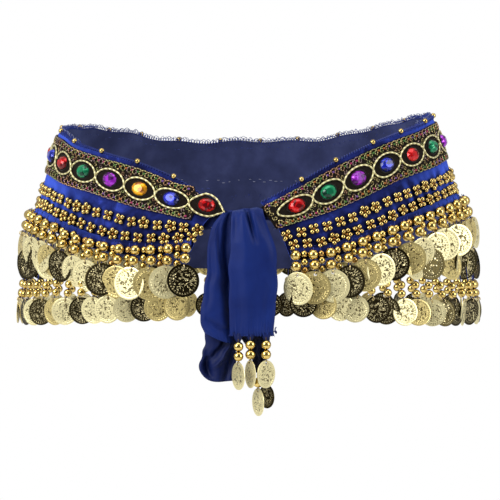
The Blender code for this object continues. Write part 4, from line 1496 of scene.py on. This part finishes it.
def tie_cloth(
    name, node, rows, folds, creases, droop, calm, ruffle=0.0, look=CHIFFON, count=(96, 84), others=()
):
    """A gathered stretch of chiffon on its solid's form, with creases placed along it."""
    at, run = smooth_rows(TIE_COLUMNS, rows, count[0])
    share = np.linspace(0, 1, count[1])[None]
    length = run[-1, 0]
    part = run / length
    width = at["right"] - at["left"]
    out = at["front"] + at["fold"] * fold_shape(share, folds) * calm(part)
    out = out - EDGE_FALL_BACK * np.abs(2 * share - 1) ** 3.2
    for row in creases:
        out = out + crease(share, part, (width.mean(), length), row)
    fine = wander(share * 40 + 3.0 * part, 51, 2.6, 6.5)
    out = out + 0.14 * MM * fine * (0.03 + np.exp(-part * 7) + np.exp(-(1 - part) * 16))
    long_waves = wander(share * 18 + 9 * part, 59, 14, 30) * wander(part * 24 - 6 * share, 60, 9, 20)
    out = out + 0.40 * MM * long_waves
    frill = np.exp(-(1 - part) * length / (4 * MM))
    out = out + ruffle * frill * wander(share * 40, 53, 2.2, 4.5)
    across = mix(at["left"], at["right"], share)
    across = across + 0.4 * MM * wander(part * 9 + 0 * share, 55, 1.5, 4) * np.sin(np.pi * part)
    height = at["height"] - droop(part, share) - ruffle * 0.22 * frill * wander(share * 40, 57, 1.5, 4)
    outer = np.stack(np.broadcast_arrays(across, -out - 0.2 * MM, height), -1)
    inner = np.stack(np.broadcast_arrays(across, -out + 0.2 * MM, height), -1)
    uv = np.stack(np.broadcast_arrays(share * width, run), -1)
    made = shell(name, outer, inner, uv, look)
    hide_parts(node)
    return outer


def strap_cloth(name, node, rows, seed, tight=1.0):
    """A gathered strap or knot: its solid's ovals with creases that run along it."""
    at, run = smooth_rows(STRAP_COLUMNS, rows, 44)
    angle = (2 * np.pi * np.arange(56) / 56)[None]
    part = run / run[-1, 0]
    gather = 0.045 * np.sin(7 * angle + 1.4 * np.sin(3 * part + seed))
    gather = gather + 0.035 * np.sin(12 * angle - 2.2 * part + seed)
    gather = 1 - 0.06 + gather
    forward = at["front"] + at["half_thickness"] * gather * np.cos(angle)
    height = at["height"] + tight * at["half_height"] * gather * np.sin(angle)
    points = np.stack(np.broadcast_arrays(at["across"], -forward, height), -1)
    uv = np.stack(np.broadcast_arrays(run, angle * 5 * MM), -1)
    pile = Pile()
    pile.add(points, capped_quads(*points.shape[:2]), 0, uv)
    made = pile.build(name, CHIFFON)
    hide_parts(node)


def loose_threads(hem, seed, count, drop):
    """Frayed threads along a hem, given as the row of its points."""
    rng = np.random.default_rng(seed)
    pile = Pile()
    for _ in range(count):
        start = hem[rng.integers(0, len(hem))]
        length = rng.uniform(0.3, 1.0) * drop
        steps = np.linspace(0, 1, 7)
        bend = rng.normal(0, 0.45, 2)
        x = start[0] + length * bend[0] * steps**1.6
        y = start[1] + 0.5 * length * bend[1] * steps - 0.2 * MM
        z = start[2] + 1.0 * MM - length * steps * (1 - 0.25 * rng.random() * steps)
        points = np.stack([x, y, z], -1)
        pile.cord(points, TO_VIEWER, 0.14 * MM, 3, slot=rng.integers(0, 2))
    return pile


def hump(value, centre, width):
    return np.exp(-(((value - centre) / width) ** 2))


def front_tail():
    def crest(part, share):
        low = 3.0 + 3.0 * (1 - share) ** 1.2 + 1.8 * hump(share, 0.47, 0.08) + 1.4 * hump(share, 1.0, 0.12)
        return low * MM * hump(part, 0.165, 0.10)

    rows = FRONT_TAIL_ROWS + (HEM_FRILL_ROW,)
    return tie_cloth(
        "tie_tail_cloth", "tie_front_tail", rows, 3, TAIL_CREASES, crest,
        lambda part: 0.55 - 0.47 * np.clip((part - 0.16) / 0.12, 0, 1), ruffle=0.65 * MM, count=(130, 110),
        others=(hem_gathers(),),
    )


def loop():
    def sag(part, share):
        return LOOP_SAG * share * part + 1.2 * MM * np.sin(np.pi * share) * part**3

    tie_cloth(
        "tie_loop_cloth", "tie_loop", LOOP_ROWS, 1.5, LOOP_CREASES, sag,
        lambda part: 0.7 - 0.5 * np.clip(part / 0.2, 0, 1),
    )


def loop_back():
    def rounded(part, share):
        return (1.0 * np.sin(np.pi * share) - 5.0 * np.maximum(0, 1 - 2 * share) ** 3) * MM * part**4

    tie_cloth(
        "tie_loop_back_cloth", "tie_loop_back", LOOP_BACK_ROWS, 2, LOOP_BACK_CREASES,
        rounded, lambda part: 0.2 + 0 * part, look=CHIFFON_PAINTED_SHADE,
    )


def tail_point():
    tie_cloth(
        "tie_point_cloth", "tie_tail_point", TAIL_POINT_ROWS, 2.5, TAIL_POINT_CREASES,
        lambda part, share: 0 * part, lambda part: 0.8 + 0 * part, look=CHIFFON_PAINTED_SHADE, count=(60, 50),
    )


def hem_gathers():
    """The points of the hem that are gathered to the tassels' threads."""
    pile = Pile()
    turn = (2 * np.pi * np.arange(28) / 28)[None]
    down = np.linspace(0, 1, 16)[:, None]
    for number, row in enumerate(TAIL_TASSEL):
        at = named(TASSEL_COLUMNS, row)
        top, bottom = HEM_FRILL_ROW[0] * MM + 2.5 * MM, at["top"] - 0.6 * MM
        flute = 1 + 0.16 * np.sin(6 * turn + number) * (1 - 0.3 * down)
        wide = mix(5.2, 1.3, down**0.75) * MM * flute
        deep = mix(1.9, 1.2, down) * MM * flute
        x = at["across"] + wide * np.cos(turn)
        y = -(at["front"] - mix(3.0, 0.8, down) * MM + deep * np.sin(turn))
        points = np.stack(np.broadcast_arrays(x, y, mix(top, bottom, down)), -1)
        pile.add(points, capped_quads(16, 28))
    made = pile.build("hem_gathers", CHIFFON_PAINTED_SHADE)
    return made


def ties():
    tail = front_tail()
    loop()
    loop_back()
    tail_point()
    strap_cloth("tie_strap_left_cloth", "tie_strap_left", LEFT_STRAP_ROWS, 1)
    strap_cloth("tie_knot_cloth", "tie_knot", KNOT_ROWS, 2, 0.80)
    strap_cloth("tie_strap_right_cloth", "tie_strap_right", RIGHT_STRAP_ROWS, 3)
    pile = loose_threads(tail[-1], 71, 8, 2.2 * MM)
    curl = np.linspace(0, 1, 40)
    points = np.stack(
        [
            (18.0 + 2.6 * np.sin(5.5 * curl) * curl + 4.4 * curl) * MM,
            (-134.6 - 1.0 * curl - 0.8 * np.sin(9 * curl) * curl) * MM,
            (-87 + 1 * curl + 2.6 * np.sin(8 * curl) * curl) * MM,
        ],
        -1,
    )
    pile.cord(points, TO_VIEWER, 0.48 * MM, 5)
    pile.build("frayed_threads", NAVY_THREAD, BLUE_THREAD)


# The studio.


VIEW_DISTANCE = 2200 * MM
VIEW_ELEVATION = 2.0
VIEW_CENTRE = -30 * MM
LENS = 198.0
STUDIO_AIM = Vector((0, 0, -20 * MM))
FLOOR_LEVEL = -900 * MM
FLOOR_REACH = 2200 * MM
TENT_FRONT = 0.14
TENT_ROUND = 0.54


def studio():
    elevation = math.radians(VIEW_ELEVATION)
    camera = bpy.data.cameras.new("camera")
    camera.lens = LENS
    camera.sensor_width = 36.0
    camera.clip_end = 50
    camera.shift_x = 0.002
    seen = bpy.data.objects.new("camera", camera)
    place = Vector((0, -math.cos(elevation), math.sin(elevation))) * VIEW_DISTANCE
    seen.location = place + Vector((0, 0, VIEW_CENTRE))
    seen.rotation_euler = (-place).to_track_quat("-Z", "Y").to_euler()
    bpy.context.scene.collection.objects.link(seen)
    bpy.context.scene.camera = seen
    bpy.context.scene.view_settings.view_transform = "Standard"
    floor()
    area_light("key", (-1.6, -1.5, 1.0), (1.3, 1.6), 56)
    area_light("fill", (1.8, -0.9, 0.5), (0.8, 1.5), 22)
    area_light("above", (0, -0.3, 1.9), (1.8, 1.4), 16)
    paper_tent()


def area_light(name, place, size, power):
    light = bpy.data.lights.new(name, "AREA")
    light.shape = "RECTANGLE"
    light.size, light.size_y = size
    light.energy = power
    made = bpy.data.objects.new(name, light)
    made.location = place
    made.rotation_euler = (STUDIO_AIM - Vector(place)).to_track_quat("-Z", "Y").to_euler()
    bpy.context.scene.collection.objects.link(made)


def floor():
    shape = bmesh.new()
    bmesh.ops.create_circle(shape, cap_ends=True, segments=96, radius=FLOOR_REACH)
    mesh = bpy.data.meshes.new("floor")
    shape.to_mesh(mesh)
    shape.free()
    made = bpy.data.objects.new("floor", mesh)
    made.location = (0, 0, FLOOR_LEVEL)
    look = Look("floor", (0.86, 0.86, 0.86), 0.9)
    look.set("Base Color", look.blend(look.noise(3.0), (0.85, 0.85, 0.85), (0.88, 0.88, 0.88)))
    mesh.materials.append(look.material)
    bpy.context.scene.collection.objects.link(made)


def paper_tent():
    """Pale paper all round, darker in front, where the photographer stands."""
    world = bpy.data.worlds.new("studio")
    world.use_nodes = True
    bpy.context.scene.world = world
    tree = world.node_tree
    shade = tree.nodes["Background"]
    shade.inputs["Color"].default_value = (1, 1, 1, 1)
    direction = tree.nodes.new("ShaderNodeTexCoord")
    split = tree.nodes.new("ShaderNodeSeparateXYZ")
    dim = tree.nodes.new("ShaderNodeMapRange")
    dim.inputs["From Min"].default_value = -0.85
    dim.inputs["From Max"].default_value = -0.25
    dim.inputs["To Min"].default_value = TENT_FRONT
    dim.inputs["To Max"].default_value = TENT_ROUND
    tree.links.new(direction.outputs["Generated"], split.inputs[0])
    tree.links.new(split.outputs["Y"], dim.inputs["Value"])
    tree.links.new(dim.outputs[0], shade.inputs["Strength"])
    paper = tree.nodes.new("ShaderNodeBackground")
    paper.inputs["Color"].default_value = (1, 1, 1, 1)
    path = tree.nodes.new("ShaderNodeLightPath")
    mixer = tree.nodes.new("ShaderNodeMixShader")
    tree.links.new(path.outputs["Is Camera Ray"], mixer.inputs[0])
    tree.links.new(shade.outputs[0], mixer.inputs[1])
    tree.links.new(paper.outputs[0], mixer.inputs[2])
    tree.links.new(mixer.outputs[0], tree.nodes["World Output"].inputs[0])


def band_sheets():
    """The cloth of the band, the ribbon and the tape."""
    velvet = velvet_band()
    ribbon = gem_braid()
    tape = fringe_tape()


band_sheets()
edge_stitching()
edge_beads()
inner_stitches()
stones()
stone_frames()
braid_loops()
daisies()
coin_fringe()
ties()
studio()
